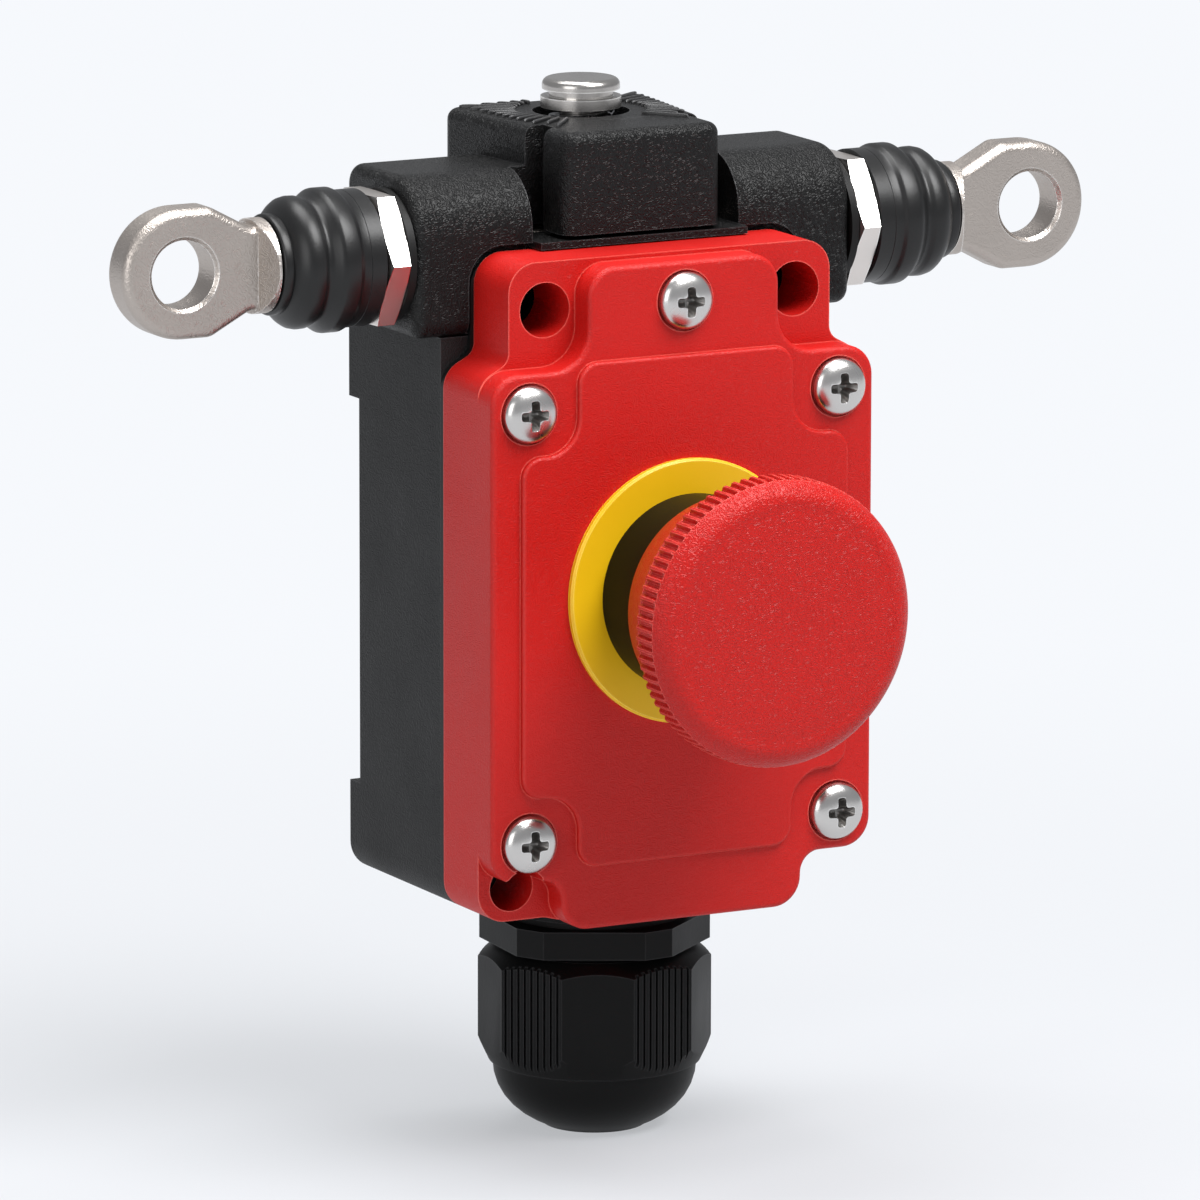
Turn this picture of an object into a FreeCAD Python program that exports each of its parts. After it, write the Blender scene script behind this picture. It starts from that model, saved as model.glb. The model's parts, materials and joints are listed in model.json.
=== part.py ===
import FreeCAD, Part
import math
import os
import Sketcher

# A rope pull switch for a machine's emergency stop line. A rope is hooked into the eye on each
# side of the head. A pull on either eye, or a push on the mushroom button, opens the contacts.
#
# Frame, in millimetres: the wall is the plane Y = 0 and the front faces -Y, +X is to the right
# and +Z is up. The origin is midway between the two upper mounting holes, on the wall. Depths
# are distances in front of the wall, heights and drops are above and below the upper holes.

Vector = FreeCAD.Vector

DIMENSIONS = (
    ("mount_spacing", 38.9, "between the two upper mounting holes"),
    ("mount_hole_radius", 2.65, "clearance for an M5 screw"),
    ("mount_recess_radius", 3.8, "recess that takes the screw's head, upper holes"),
    ("mount_recess_floor", 25.2, "depth at which the upper recess ends"),
    ("lower_mount_offset", 24.6, "lower hole, left of the middle"),
    ("lower_mount_fall", 1.4, "lower mounting hole below the notch's edge"),
    ("lower_recess_radius", 3.3, "recess of the lower hole"),
    ("lower_recess_floor", 8.0, "depth at which the lower recess ends"),
    ("housing_depth", 28.2, "wall to the front rim of the rear housing"),
    ("housing_wall", 2.8, "thickness of the housing's walls"),
    ("housing_floor", 6.0, "depth of the housing's inside floor"),
    ("foot_height", 3.1, "feet that stand on the wall"),
    ("foot_top_drop", 17.2, "lower edge of the upper foot"),
    ("foot_rise", 6.9, "upper edge of the lower foot above the notch"),
    ("head_joint_drop", 4.8, "joint between the rear housing and the head"),
    ("flange_depth", 7.3, "housing's mounting flange behind the arms"),
    ("half_width", 29.7, "middle to the side of the housing and the cover"),
    ("ear_half_width", 25.0, "middle to the side of the upper ears"),
    ("ear_top", 6.7, "top of the ears"),
    ("shoulder_inner_drop", 6.9, "shoulder where it leaves an ear"),
    ("shoulder_outer_drop", 9.4, "shoulder where it meets the side"),
    ("shoulder_inner_radius", 2.2, "hollow bend of the shoulder"),
    ("shoulder_outer_radius", 3.8, "outer bend of the shoulder"),
    ("notch_drop", 78.9, "lower right notch"),
    ("tab_half_width", 18.8, "half width of the cover's bottom tab"),
    ("tab_length", 7.5, "bottom of the tab below the notch"),
    ("lower_ear_length", 6.1, "bottom of the lower left ear below the notch"),
    ("lower_ear_end", 19.5, "where the lower ear runs into the tab"),
    ("tab_left_end", 14.0, "where the tab's bottom edge begins"),
    ("convex_radius", 4.2, "outer corners of the cover"),
    ("concave_radius", 3.0, "inner corners of the cover"),
    ("plate_concave_radius", 5.4, "plate's inner corners below the ears"),
    ("blend_radius", 3.0, "shallow bend between the lower ear and the tab"),
    ("gasket_thickness", 0.8, "seal between the cover and the housing"),
    ("gasket_lip", 0.5, "how far the seal shows past the cover"),
    ("ear_height", 10.4, "back of the cover to the face of the ears"),
    ("plate_height", 14.7, "back of the cover to the face of the plate"),
    ("panel_rise", 0.9, "raised panel above the plate"),
    ("cover_wall", 2.6, "thickness of the cover's walls"),
    ("plate_tab_half_width", 14.8, "plate between the upper ears"),
    ("plate_top", 6.0, "top edge of the plate"),
    ("plate_shoulder_drop", 7.9, "plate's shoulder below an ear"),
    ("panel_top_drop", 6.9, "top edge of the panel"),
    ("panel_neck_half_width", 16.7, "narrow ends of the panel"),
    ("panel_half_width", 25.4, "wide middle of the panel"),
    ("panel_upper_step_drop", 19.4, "where the panel widens"),
    ("panel_step_rise", 11.8, "where the panel narrows, above the notch"),
    ("panel_bottom_rise", 1.5, "bottom edge of the panel above the notch"),
    ("panel_convex_radius", 3.0, "outer corners of the panel"),
    ("panel_concave_radius", 5.0, "panel's corners round the screws"),
    ("edge_radius", 0.8, "moulded edges of the cover"),
    ("panel_edge_radius", 0.5, "moulded edge of the panel"),
    ("screw_offset", 24.05, "side screws, from the middle"),
    ("screw_upper_drop", 13.4, "upper side screws"),
    ("screw_lower_rise", 5.5, "lower side screws above the notch"),
    ("screw_top_rise", 0.5, "top middle screw"),
    ("screw_head_radius", 4.0, "M4 pan head"),
    ("screw_head_height", 2.6, "M4 pan head"),
    ("screw_dome_radius", 2.3, "rounded edge of a pan head"),
    ("screw_thread_radius", 2.0, "M4 thread"),
    ("screw_clearance", 0.2, "clearance holes of the screws"),
    ("screw_seat_depth", 0.5, "seat sunk below the plate"),
    ("screw_seat_radius", 4.3, "seat round the head"),
    ("screw_length", 22.0, "under the head"),
    ("top_screw_length", 20.0, "under the head of the top screw"),
    ("boss_radius", 4.4, "columns that take the cover screws"),
    ("recess_width", 1.2, "arm of the cross recess"),
    ("recess_span", 4.4, "across the cross recess"),
    ("recess_depth", 1.6, "depth of the cross recess"),
    ("arm_half_length", 34.0, "middle to the end of an arm"),
    ("arm_top", 17.2, "top of the arms"),
    ("arm_front", 29.4, "front of the arms"),
    ("arm_back", 7.6, "back of the arms"),
    ("arm_front_radius", 8.0, "front top edge of the arms"),
    ("arm_edge_radius", 3.0, "back top edge of the arms"),
    ("arm_bottom_radius", 2.4, "front bottom edge of the arms"),
    ("arm_end_radius", 1.6, "rims of the arms' ends"),
    ("block_half_width", 13.6, "front of the head's middle block"),
    ("block_top", 22.7, "top of the block"),
    ("block_back_half_width", 16.0, "back of the block"),
    ("block_back", 1.0, "back of the block"),
    ("cap_half_width", 12.3, "middle to the side of the cap"),
    ("block_radius", 1.6, "edges of the block"),
    ("block_gap", 0.4, "block above the mounting flange"),
    ("cap_front", 32.0, "front face of the head's cap"),
    ("cap_back", 22.2, "joint between the cap and the block"),
    ("cap_bottom", 8.5, "bottom of the cap"),
    ("cap_radius", 2.4, "edges of the cap"),
    ("cap_clearance", 3.8, "slot beside the cap"),
    ("lip_bottom", 6.9, "underside of the lip over the cover"),
    ("lip_top", 7.9, "upper side of the lip over the cover"),
    ("groove_width", 3.2, "groove round the back of the cap"),
    ("groove_depth", 1.5, "groove round the back of the cap"),
    ("cover_seat_margin", 0.9, "rebate in the head round the cover's ears"),
    ("rope_height", 6.0, "axis of the pull rods"),
    ("rope_depth", 20.4, "axis of the pull rods"),
    ("rod_inner_end", 3.6, "middle to the inner end of a rod"),
    ("rod_thin_radius", 2.5, "rod inside the head"),
    ("rod_radius", 3.0, "rod in its bushing"),
    ("rod_step", 30.0, "where the rod thickens"),
    ("rod_fit", 0.05, "running clearance of the rods"),
    ("pull_travel", 5.0, "how far an eye can be pulled"),
    ("wedge_drop", 5.4, "deep end of the wedge below the rod's axis"),
    ("wedge_slope", 0.55, "rise of the wedge for each millimetre"),
    ("wedge_width", 4.6, "wedge under the rod"),
    ("wedge_start", 4.0, "middle to the deep end of the wedge"),
    ("chamber_start", 3.3, "middle to the wedge chamber"),
    ("chamber_end", 15.6, "end of the wedge chamber"),
    ("chamber_width", 5.4, "wedge chamber"),
    ("chamber_bottom", 0.2, "floor of the wedge chamber"),
    ("chamber_top", 8.9, "ceiling of the wedge chamber"),
    ("follower_offset", 9.0, "middle to the followers"),
    ("follower_radius", 2.0, "round part of a follower"),
    ("follower_gap", 0.25, "film between wedge and follower"),
    ("follower_top", 3.2, "top of a follower"),
    ("bushing_radius", 7.5, "threaded outside of a bushing"),
    ("bushing_bore", 6.0, "spring room in a bushing"),
    ("bushing_start", 27.6, "inner end of a bushing"),
    ("bushing_end", 41.4, "outer end of a bushing"),
    ("bushing_spigot", 6.6, "end that carries the bellows"),
    ("bushing_nose", 2.6, "end wall that guides the rod"),
    ("spring_room_start", 25.4, "inner end of the spring room"),
    ("collar_radius", 5.3, "spring collar on the rod"),
    ("collar_thickness", 1.2, "spring collar on the rod"),
    ("washer_radius", 9.3, "sealing washer behind a nut"),
    ("washer_thickness", 1.1, "sealing washer behind a nut"),
    ("nut_flats", 17.8, "across the flats of a nut"),
    ("nut_thickness", 3.3, "hexagon nut"),
    ("nut_bevel", 1.2, "bevel of the nut's corners"),
    ("bellows_clearance", 0.1, "bellows off the nut"),
    ("bellows_mouth", 6.7, "inside of the bellows"),
    ("bellows_band_radius", 9.5, "plain band beside the nut"),
    ("bellows_band_end", 42.2, "middle to the end of the band"),
    ("bellows_radius", 10.0, "inner lobe"),
    ("inner_lobe_start", 42.8, "middle to the inner lobe"),
    ("inner_lobe_end", 45.0, "middle to the end of the inner lobe"),
    ("bellows_groove", 8.7, "shallow groove between the lobes"),
    ("bellows_groove_place", 46.9, "middle to the groove"),
    ("outer_lobe_radius", 9.2, "outer lobe"),
    ("outer_lobe_start", 47.9, "middle to the outer lobe"),
    ("outer_lobe_end", 50.9, "middle to the end of the outer lobe"),
    ("outer_lobe_bend", 2.2, "rounded shoulder of the outer lobe"),
    ("bellows_lip_start", 51.3, "middle to the lip"),
    ("bellows_lip_radius", 7.0, "outside of the lip"),
    ("bellows_end", 52.9, "middle to the outer end of a bellows"),
    ("rope_wire_radius", 0.6, "wire of the rope springs"),
    ("rope_coil_radius", 4.4, "middle of the rope springs' wire"),
    ("spring_play", 0.1, "springs off their seats"),
    ("eye_offset", 66.2, "middle to the eye's centre"),
    ("eye_radius", 9.0, "outside of an eye"),
    ("eye_hole_radius", 4.75, "hole for the rope's shackle"),
    ("eye_thickness", 6.0, "flat part of an eye"),
    ("eye_edge_radius", 1.3, "rounded rim of an eye"),
    ("eye_hole_chamfer", 0.5, "mouth of the hole"),
    ("eye_neck_length", 11.1, "centre of the eye to the end of its flats"),
    ("eye_neck_half_width", 5.8, "middle to the side of the flat neck"),
    ("eye_shoulder", 4.2, "centre of the eye to the start of its taper"),
    ("eye_taper_end", 10.2, "centre of the eye to the end of its taper"),
    ("eye_neck_radius", 2.5, "bends of the taper"),
    ("shank_radius", 6.6, "round shank of an eye"),
    ("spigot_start", 50.6, "inner end of the spigot in the bellows' lip"),
    ("spigot_radius", 5.2, "spigot in the bellows' lip"),
    ("shank_start", 53.2, "inner end of the shank"),
    ("shank_facet_start", 53.5, "where the shank's facets begin"),
    ("reset_depth", 12.9, "axis of the reset button"),
    ("reset_top", 27.4, "top of the reset button"),
    ("reset_cap_bottom", 25.8, "underside of its upper disc"),
    ("reset_disc_top", 24.8, "top of its lower disc"),
    ("reset_disc_bottom", 23.3, "underside of its lower disc"),
    ("reset_radius", 5.45, "upper disc of the reset button"),
    ("reset_disc_radius", 5.65, "lower disc of the reset button"),
    ("reset_neck_radius", 4.5, "neck between the discs"),
    ("reset_stem_radius", 3.0, "stem of the reset button"),
    ("reset_stem_bottom", 8.4, "lower end of the stem"),
    ("reset_travel", 2.8, "how far the button is pressed"),
    ("reset_well_radius", 6.8, "opening in the top of the head"),
    ("reset_well_floor", 10.6, "seat of the stem's guide"),
    ("guide_thickness", 3.0, "guide of the stem"),
    ("clip_radius", 3.7, "clip on the stem"),
    ("clip_thickness", 0.8, "clip on the stem"),
    ("clip_room_radius", 4.1, "room for the clip"),
    ("clip_room_floor", 5.0, "floor of the clip's room"),
    ("clip_groove_depth", 0.5, "groove in the stem"),
    ("clip_play", 0.3, "clip below the guide"),
    ("reset_edge_radius", 1.0, "rounded edge of the button"),
    ("reset_coil_radius", 4.2, "middle of the reset spring's wire"),
    ("reset_wire_radius", 0.5, "wire of the reset spring"),
    ("button_drop", 39.8, "axis of the emergency-stop button"),
    ("ring_radius", 18.5, "yellow ring"),
    ("ring_thickness", 1.0, "yellow ring"),
    ("ring_bevel", 0.3, "bevel of the ring"),
    ("panel_hole_radius", 11.15, "hole for a 22 mm button"),
    ("collar_outer_radius", 13.7, "black collar"),
    ("button_collar_front", 58.0, "front of the black collar"),
    ("button_thread_radius", 11.0, "thread through the cover"),
    ("button_thread_end", 33.0, "inner end of the thread"),
    ("button_bore_radius", 6.4, "spring room in the collar"),
    ("button_nut_radius", 14.5, "nut behind the cover"),
    ("button_nut_thickness", 4.5, "nut behind the cover"),
    ("stem_radius", 3.5, "emergency-stop stem"),
    ("stem_front", 66.0, "front end of the stem"),
    ("stem_shoulder", 48.0, "spring seat on the stem"),
    ("stem_shoulder_radius", 5.9, "spring seat on the stem"),
    ("press_travel", 5.0, "how far the mushroom is pressed"),
    ("mushroom_radius", 20.0, "ribbed rim of the mushroom"),
    ("mushroom_front", 73.6, "front face of the mushroom"),
    ("mushroom_back", 55.6, "back edge of the skirt"),
    ("skirt_back_radius", 15.1, "back edge of the skirt"),
    ("skirt_front_radius", 18.8, "front of the skirt"),
    ("rim_back", 66.4, "back of the ribbed rim"),
    ("rim_groove_width", 0.5, "groove behind the ribbed rim"),
    ("rim_edge_radius", 0.6, "back edge of the ribbed rim"),
    ("mushroom_bore_radius", 14.1, "hollow of the skirt"),
    ("mushroom_floor", 68.4, "floor of the hollow"),
    ("mushroom_edge_radius", 2.6, "rounded edge of the front face"),
    ("rim_groove_radius", 18.0, "groove behind the ribbed rim"),
    ("hub_radius", 5.4, "hub that turns on the stem"),
    ("hub_back", 60.5, "back end of the hub"),
    ("button_coil_radius", 4.9, "middle of the stem spring's wire"),
    ("button_wire_radius", 0.55, "wire of the stem spring"),
    ("contact_gap", 0.3, "moving bridge below or behind its strips"),
    ("strip_thickness", 0.8, "fixed and moving contact strips"),
    ("strip_width", 5.0, "fixed and moving contact strips"),
    ("strip_gap", 0.5, "strips clear of the follower or stem"),
    ("rope_block_half_width", 19.2, "block under the head"),
    ("rope_block_front", 26.0, "front of the rope contact block"),
    ("rope_block_drop", 20.6, "top of the rope block's base"),
    ("rope_block_bottom", 25.4, "drop of the rope block's underside"),
    ("rope_post_drop", 16.0, "drop of the strips' seats"),
    ("rope_post_start", 13.6, "inner side of the outer posts"),
    ("rope_post_middle", 4.6, "half width of the middle post"),
    ("contact_coil_radius", 1.7, "middle of the contact springs' wire"),
    ("contact_wire_radius", 0.3, "wire of the contact springs"),
    ("terminal_head_radius", 2.0, "heads of the terminal screws"),
    ("terminal_head_height", 1.5, "heads of the terminal screws"),
    ("terminal_thread_radius", 1.2, "thread of the terminal screws"),
    ("terminal_length", 3.4, "terminal screw under its head"),
    ("stop_block_half_width", 13.0, "block behind the button"),
    ("stop_block_half_height", 9.0, "block behind the button"),
    ("stop_block_base", 14.0, "front of the block's base"),
    ("stop_post_front", 20.8, "front of the block's posts"),
    ("stop_post_start", 7.6, "inner side of the posts"),
    ("entry_rim_gap", 10.8, "axis of the cable entry behind the housing's rim"),
    ("entry_boss_radius", 13.4, "boss under the housing"),
    ("entry_boss_length", 3.2, "face of the boss below the tab"),
    ("entry_thread_radius", 10.0, "thread of the cable entry"),
    ("thread_fit", 0.05, "clearance of the screwed threads"),
    ("entry_thread_length", 7.6, "gland's thread above the face of the boss"),
    ("entry_seal_thickness", 0.8, "sealing ring above the gland"),
    ("gland_flange_radius", 16.25, "middle to the corners of the gland's flange"),
    ("gland_flange_thickness", 4.0, "gland's flange"),
    ("gland_tube_radius", 13.2, "outer thread of the gland"),
    ("gland_tube_length", 17.4, "gland's tube below the face of the boss"),
    ("gland_bore_radius", 8.4, "way through the gland"),
    ("gland_nut_flats", 31.3, "across the flats of the dome nut"),
    ("gland_nut_gap", 6.8, "dome nut below the face of the boss"),
    ("gland_taper_fall", 16.5, "top of the nut's taper below the boss"),
    ("gland_dome_fall", 20.5, "start of the dome below the boss"),
    ("gland_dome_radius", 14.4, "dome of the nut"),
    ("gland_dome_bend", 9.5, "bend of the dome's end"),
    ("gland_bevel", 1.4, "bevel of the nut's upper end"),
    ("gland_length", 31.6, "lower end below the face of the boss"),
    ("gland_mouth_radius", 7.0, "mouth of the dome"),
    ("seal_bore_radius", 6.5, "hole for the cable in the rubber seal"),
    ("seal_outer_radius", 9.6, "rubber seal"),
    ("seal_fall", 11.4, "cable seal below the face of the boss"),
    ("seal_length", 15.0, "rubber seal"),
    ("cage_outer_radius", 11.4, "clamping cage"),
    ("cage_slot_width", 1.6, "slots between the cage's claws"),
    ("cage_length", 9.5, "clamping cage"),
    ("earth_plate_size", 9.0, "side of the earth plate"),
    ("earth_plate_thickness", 1.2, "earth plate"),
    ("earth_gap", 0.5, "earth plate beside the screw's column"),
    ("earth_rise", 12.9, "middle of the earth plate above the notch"),
    ("earth_screw_radius", 2.9, "head of the earth screw"),
    ("earth_thread_radius", 1.75, "thread of the earth screw"),
    ("head_screw_offset", 11.0, "screws that hold the head"),
    ("head_screw_depth", 11.6, "screws that hold the head"),
    ("head_screw_radius", 1.5, "M3 thread"),
    ("head_screw_head", 2.7, "M3 head"),
    ("head_screw_rise", 1.9, "M3 head"),
    ("head_screw_length", 9.0, "under the head"),
)

document = FreeCAD.newDocument("RopePullSwitch")
sheet = document.addObject("Spreadsheet::Sheet", "Sizes")
for row, (alias, number, meaning) in enumerate(DIMENSIONS, start=1):
    sheet.set(f"A{row}", meaning)
    sheet.set(f"B{row}", str(number))
    sheet.setAlias(f"B{row}", alias)
document.recompute()


def formula_of(number):
    """The text that stands for a number in a sheet formula."""
    return getattr(number, "formula", None) or repr(float(number))


class Size(float):
    """A number that keeps the sheet formula it was worked out with."""

    def __new__(cls, number, formula):
        size = super().__new__(cls, number)
        size.formula = formula
        return size

    def __add__(self, other):
        return Size(float(self) + float(other), f"({self.formula} + {formula_of(other)})")

    def __radd__(self, other):
        return Size(float(other) + float(self), f"({formula_of(other)} + {self.formula})")

    def __sub__(self, other):
        return Size(float(self) - float(other), f"({self.formula} - {formula_of(other)})")

    def __rsub__(self, other):
        return Size(float(other) - float(self), f"({formula_of(other)} - {self.formula})")

    def __mul__(self, other):
        return Size(float(self) * float(other), f"({self.formula} * {formula_of(other)})")

    def __rmul__(self, other):
        return self * other

    def __truediv__(self, other):
        return Size(float(self) / float(other), f"({self.formula} / {formula_of(other)})")

    def __neg__(self):
        return Size(-float(self), f"(-{self.formula})")


class Dimensions:
    """Reads the driving dimensions from the sheet by name."""

    def __getattr__(self, alias):
        return Size(sheet.get(alias), f"Sizes.{alias}")


dim = Dimensions()

# Places that several pieces share, worked out once from the sheet.
cover_back = dim.housing_depth + dim.gasket_thickness
ear_face = cover_back + dim.ear_height
plate_face = cover_back + dim.plate_height
panel_face = plate_face + dim.panel_rise
mount_offset = dim.mount_spacing / 2
tab_bottom_drop = dim.notch_drop + dim.tab_length
lower_ear_drop = dim.notch_drop + dim.lower_ear_length
lower_mount_drop = dim.notch_drop + dim.lower_mount_fall
foot_bottom_drop = dim.notch_drop - dim.foot_rise
panel_lower_step_drop = dim.notch_drop - dim.panel_step_rise
panel_bottom_drop = dim.notch_drop - dim.panel_bottom_rise
screw_lower_drop = dim.notch_drop - dim.screw_lower_rise
earth_drop = dim.notch_drop - dim.earth_rise
earth_offset = dim.screw_offset - dim.boss_radius - dim.earth_plate_size / 2 - dim.earth_gap
entry_depth = dim.housing_depth - dim.entry_rim_gap
entry_boss_drop = tab_bottom_drop + dim.entry_boss_length
entry_inner_drop = entry_boss_drop - dim.entry_thread_length
gland_tube_end = entry_boss_drop + dim.gland_tube_length
gland_nut_top = entry_boss_drop + dim.gland_nut_gap
gland_taper_start = entry_boss_drop + dim.gland_taper_fall
gland_dome_start = entry_boss_drop + dim.gland_dome_fall
gland_dome_end = entry_boss_drop + dim.gland_length
seal_top = entry_boss_drop + dim.seal_fall
nut_start = dim.arm_half_length + dim.washer_thickness
nut_end = nut_start + dim.nut_thickness
bushing_nose_start = dim.bushing_end - dim.bushing_nose
collar_start = dim.spring_room_start + 0.3
collar_end = collar_start + dim.collar_thickness
follower_travel = dim.pull_travel * dim.wedge_slope
ring_face = panel_face + dim.ring_thickness
gland_flange_top = entry_boss_drop + dim.entry_seal_thickness
gland_flange_bottom = gland_flange_top + dim.gland_flange_thickness
bridge_drop = dim.rope_post_drop + dim.contact_gap
OVERSHOOT = 1.0
WIRE_SIDES = 6
HEX_TURN = 30.0
BEVEL_RISE = 0.5
GLAND_NUT_SIDES = 10
GLAND_NUT_TURN = 28.0
GLAND_NUT_CORNER = 1.0515
GLAND_FLANGE_TURN = 242.2
GLAND_FLANGE_ANGLES = (26.0, 42.0, 90.0, 138.0, 154.0)
CAGE_SLOTS = 3
ROPE_SPRING_TURNS = 4
CONTACT_SPRING_TURNS = 5
RESET_SPRING_TURNS = 5
STEM_SPRING_TURNS = 5

# Which way each sketch plane faces, and which of its axes a turned piece goes round.
NORMAL = {"XY": 1, "XZ": -1, "YZ": 1}
TURNING = {"X": ("XZ", "H_Axis"), "Y": ("YZ", "H_Axis"), "Z": ("XZ", "V_Axis")}
ACROSS = Vector(1, 0, 0)
DEEP = Vector(0, 1, 0)
UPRIGHT = Vector(0, 0, 1)
LEFT, RIGHT = -1, 1
sub_parts = []


def bind(thing, path, number):
    """Tie a property to the sheet."""
    if isinstance(number, Size) or number:
        thing.setExpression(path, formula_of(number))


def new_body(label):
    """An empty body that will become one sub-part."""
    body = document.addObject("PartDesign::Body", label)
    body.Label = label
    sub_parts.append(body)
    return body


def place(body, x=0.0, y=0.0, z=0.0):
    """Put a body at its place in the part's frame."""
    bind(body, ".Placement.Base.x", x)
    bind(body, ".Placement.Base.y", y)
    bind(body, ".Placement.Base.z", z)
    document.recompute()
    return body


def new_sketch(body, plane, level):
    """A sketch on an origin plane of the body, moved along the plane's own axis."""
    sketch = body.newObject("Sketcher::SketchObject", body.Label + "_sketch")
    support = [item for item in body.Origin.OriginFeatures if item.Role == plane + "_Plane"][0]
    sketch.AttachmentSupport = [(support, "")]
    sketch.MapMode = "FlatFace"
    bind(sketch, "AttachmentOffset.Base.z", level * NORMAL[plane])
    return sketch


def tie(sketch, kind, parts, number):
    """Add a dimension to a sketch and tie it to the sheet."""
    constraint = sketch.addConstraint(Sketcher.Constraint(kind, *parts, float(number)))
    bind(sketch, f"Constraints[{constraint}]", number)


def draw_circle(sketch, x, y, radius):
    """A circle with its centre and radius tied to the sheet."""
    curve = sketch.addGeometry(Part.Circle(Vector(x, y, 0), UPRIGHT, float(radius)))
    tie(sketch, "DistanceX", (-1, 1, curve, 3), x)
    tie(sketch, "DistanceY", (-1, 1, curve, 3), y)
    tie(sketch, "Radius", (curve,), radius)


def draw_outline(sketch, corners):
    """Lines from corner to corner. A corner's third number, if any, rounds it with an arc."""
    count = len(corners)
    points = [Vector(corner[0], corner[1], 0) for corner in corners]
    radii = [corner[2] if len(corner) == 3 else 0.0 for corner in corners]
    heading = [(points[(i + 1) % count] - points[i]).normalize() for i in range(count)]
    begins, ends, sides = [], [], []
    for index in range(count):
        arriving, leaving = heading[index - 1], heading[index]
        turning = math.atan2(arriving.cross(leaving).z, arriving.dot(leaving))
        trim = float(radii[index]) * math.tan(abs(turning) / 2)
        begins.append(points[index] - arriving * trim)
        ends.append(points[index] + leaving * trim)
        sides.append(1 if turning > 0 else -1)
    lines = [
        sketch.addGeometry(Part.LineSegment(ends[index], begins[(index + 1) % count]))
        for index in range(count)
    ]
    for index, corner in enumerate(corners):
        before, after = lines[index - 1], lines[index]
        if radii[index]:
            fixed = (round_corner(
                sketch, before, after, points[index], begins[index], ends[index],
                heading[index - 1], sides[index], radii[index],
            ), 1)
        else:
            sketch.addConstraint(Sketcher.Constraint("Coincident", before, 2, after, 1))
            fixed = (after, 1)
        tie(sketch, "DistanceX", (-1, 1, *fixed), corner[0])
        tie(sketch, "DistanceY", (-1, 1, *fixed), corner[1])


def round_corner(sketch, before, after, point, begin, end, arriving, side, radius):
    """An arc tangent to two lines, and the construction point where the lines would meet."""
    centre = begin + Vector(-arriving.y, arriving.x, 0) * side * float(radius)
    first, last = (begin, end) if side > 0 else (end, begin)
    arc = sketch.addGeometry(
        Part.ArcOfCircle(
            Part.Circle(centre, UPRIGHT, float(radius)),
            math.atan2(first.y - centre.y, first.x - centre.x),
            math.atan2(last.y - centre.y, last.x - centre.x),
        )
    )
    meeting = sketch.addGeometry(Part.Point(point), True)
    start_end, finish_end = (1, 2) if side > 0 else (2, 1)
    sketch.addConstraint(Sketcher.Constraint("Tangent", before, 2, arc, start_end))
    sketch.addConstraint(Sketcher.Constraint("Tangent", arc, finish_end, after, 1))
    sketch.addConstraint(Sketcher.Constraint("PointOnObject", meeting, 1, before))
    sketch.addConstraint(Sketcher.Constraint("PointOnObject", meeting, 1, after))
    tie(sketch, "Radius", (arc,), radius)
    return meeting


def extrude(body, kind, plane, low, high, corners=(), circles=()):
    """A Pad or a Pocket between two levels of the plane's own axis."""
    starts_low = (kind == "Pad") == (NORMAL[plane] > 0)
    sketch = new_sketch(body, plane, low if starts_low else high)
    if corners:
        draw_outline(sketch, corners)
    for circle in circles:
        draw_circle(sketch, *circle)
    feature = body.newObject("PartDesign::" + kind, body.Label + "_" + kind.lower())
    feature.Profile = sketch
    bind(feature, "Length", high - low)
    document.recompute()
    return feature


def turn(body, axis, outline, kind="Revolution"):
    """A solid or a groove turned about an axis from (place along it, radius) points."""
    plane, sketch_axis = TURNING[axis]
    sketch = new_sketch(body, plane, 0.0)
    if axis == "Z":
        outline = [(point[1], point[0], *point[2:]) for point in outline]
    draw_outline(sketch, outline)
    feature = body.newObject("PartDesign::" + kind, body.Label + "_turned")
    feature.Profile = sketch
    feature.ReferenceAxis = (sketch, [sketch_axis])
    document.recompute()
    return feature


def turned_body(label, axis, outline):
    """A sub-part that is turned in one piece."""
    body = new_body(label)
    turn(body, axis, outline)
    return body


def dress(body, kind, size_name, size, chosen):
    """A Fillet or Chamfer on those edges of the body that the test picks."""
    names = [
        f"Edge{index}"
        for index, edge in enumerate(body.Tip.Shape.Edges, start=1)
        if chosen(edge)
    ]
    base = body.Tip
    feature = body.newObject("PartDesign::" + kind, body.Label + "_" + kind.lower())
    feature.Base = (base, names)
    bind(feature, size_name, size)
    document.recompute()
    return feature


def fillet(body, radius, chosen):
    """Round the edges that the test picks."""
    return dress(body, "Fillet", "Radius", radius, chosen)


def chamfer(body, width, chosen):
    """Bevel the edges that the test picks."""
    return dress(body, "Chamfer", "Size", width, chosen)


def near(number, other, slack=0.02):
    """Whether two lengths are the same when an edge is picked."""
    return abs(number - other) < slack


def in_plane(axis, level):
    """A test that picks the edges lying in a plane square to an axis."""

    def chosen(edge):
        box = edge.BoundBox
        return near(getattr(box, axis + "Min"), level) and near(getattr(box, axis + "Max"), level)

    return chosen


def polygon_corners(across_flats, sides, turned=0.0):
    """Corners of a regular polygon, given across its flats and turned by an angle."""
    reach = across_flats / 2 / math.cos(math.pi / sides)
    corners = []
    for index in range(sides):
        angle = math.radians(turned) + math.pi * (2 * index + 1) / sides
        corners.append((reach * math.cos(angle), reach * math.sin(angle)))
    return corners


def sided(side, outline):
    """The outline of a piece of the right arm, or its mirror image for the left arm."""
    return [(side * point[0], *point[1:]) for point in outline]


def group_of(label, solids):
    """One sub-part made of several solids that lie apart."""
    group = document.addObject("Part::Feature", label)
    group.Label = label
    group.Shape = Part.makeCompound(solids)
    sub_parts.append(group)
    return group


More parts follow.
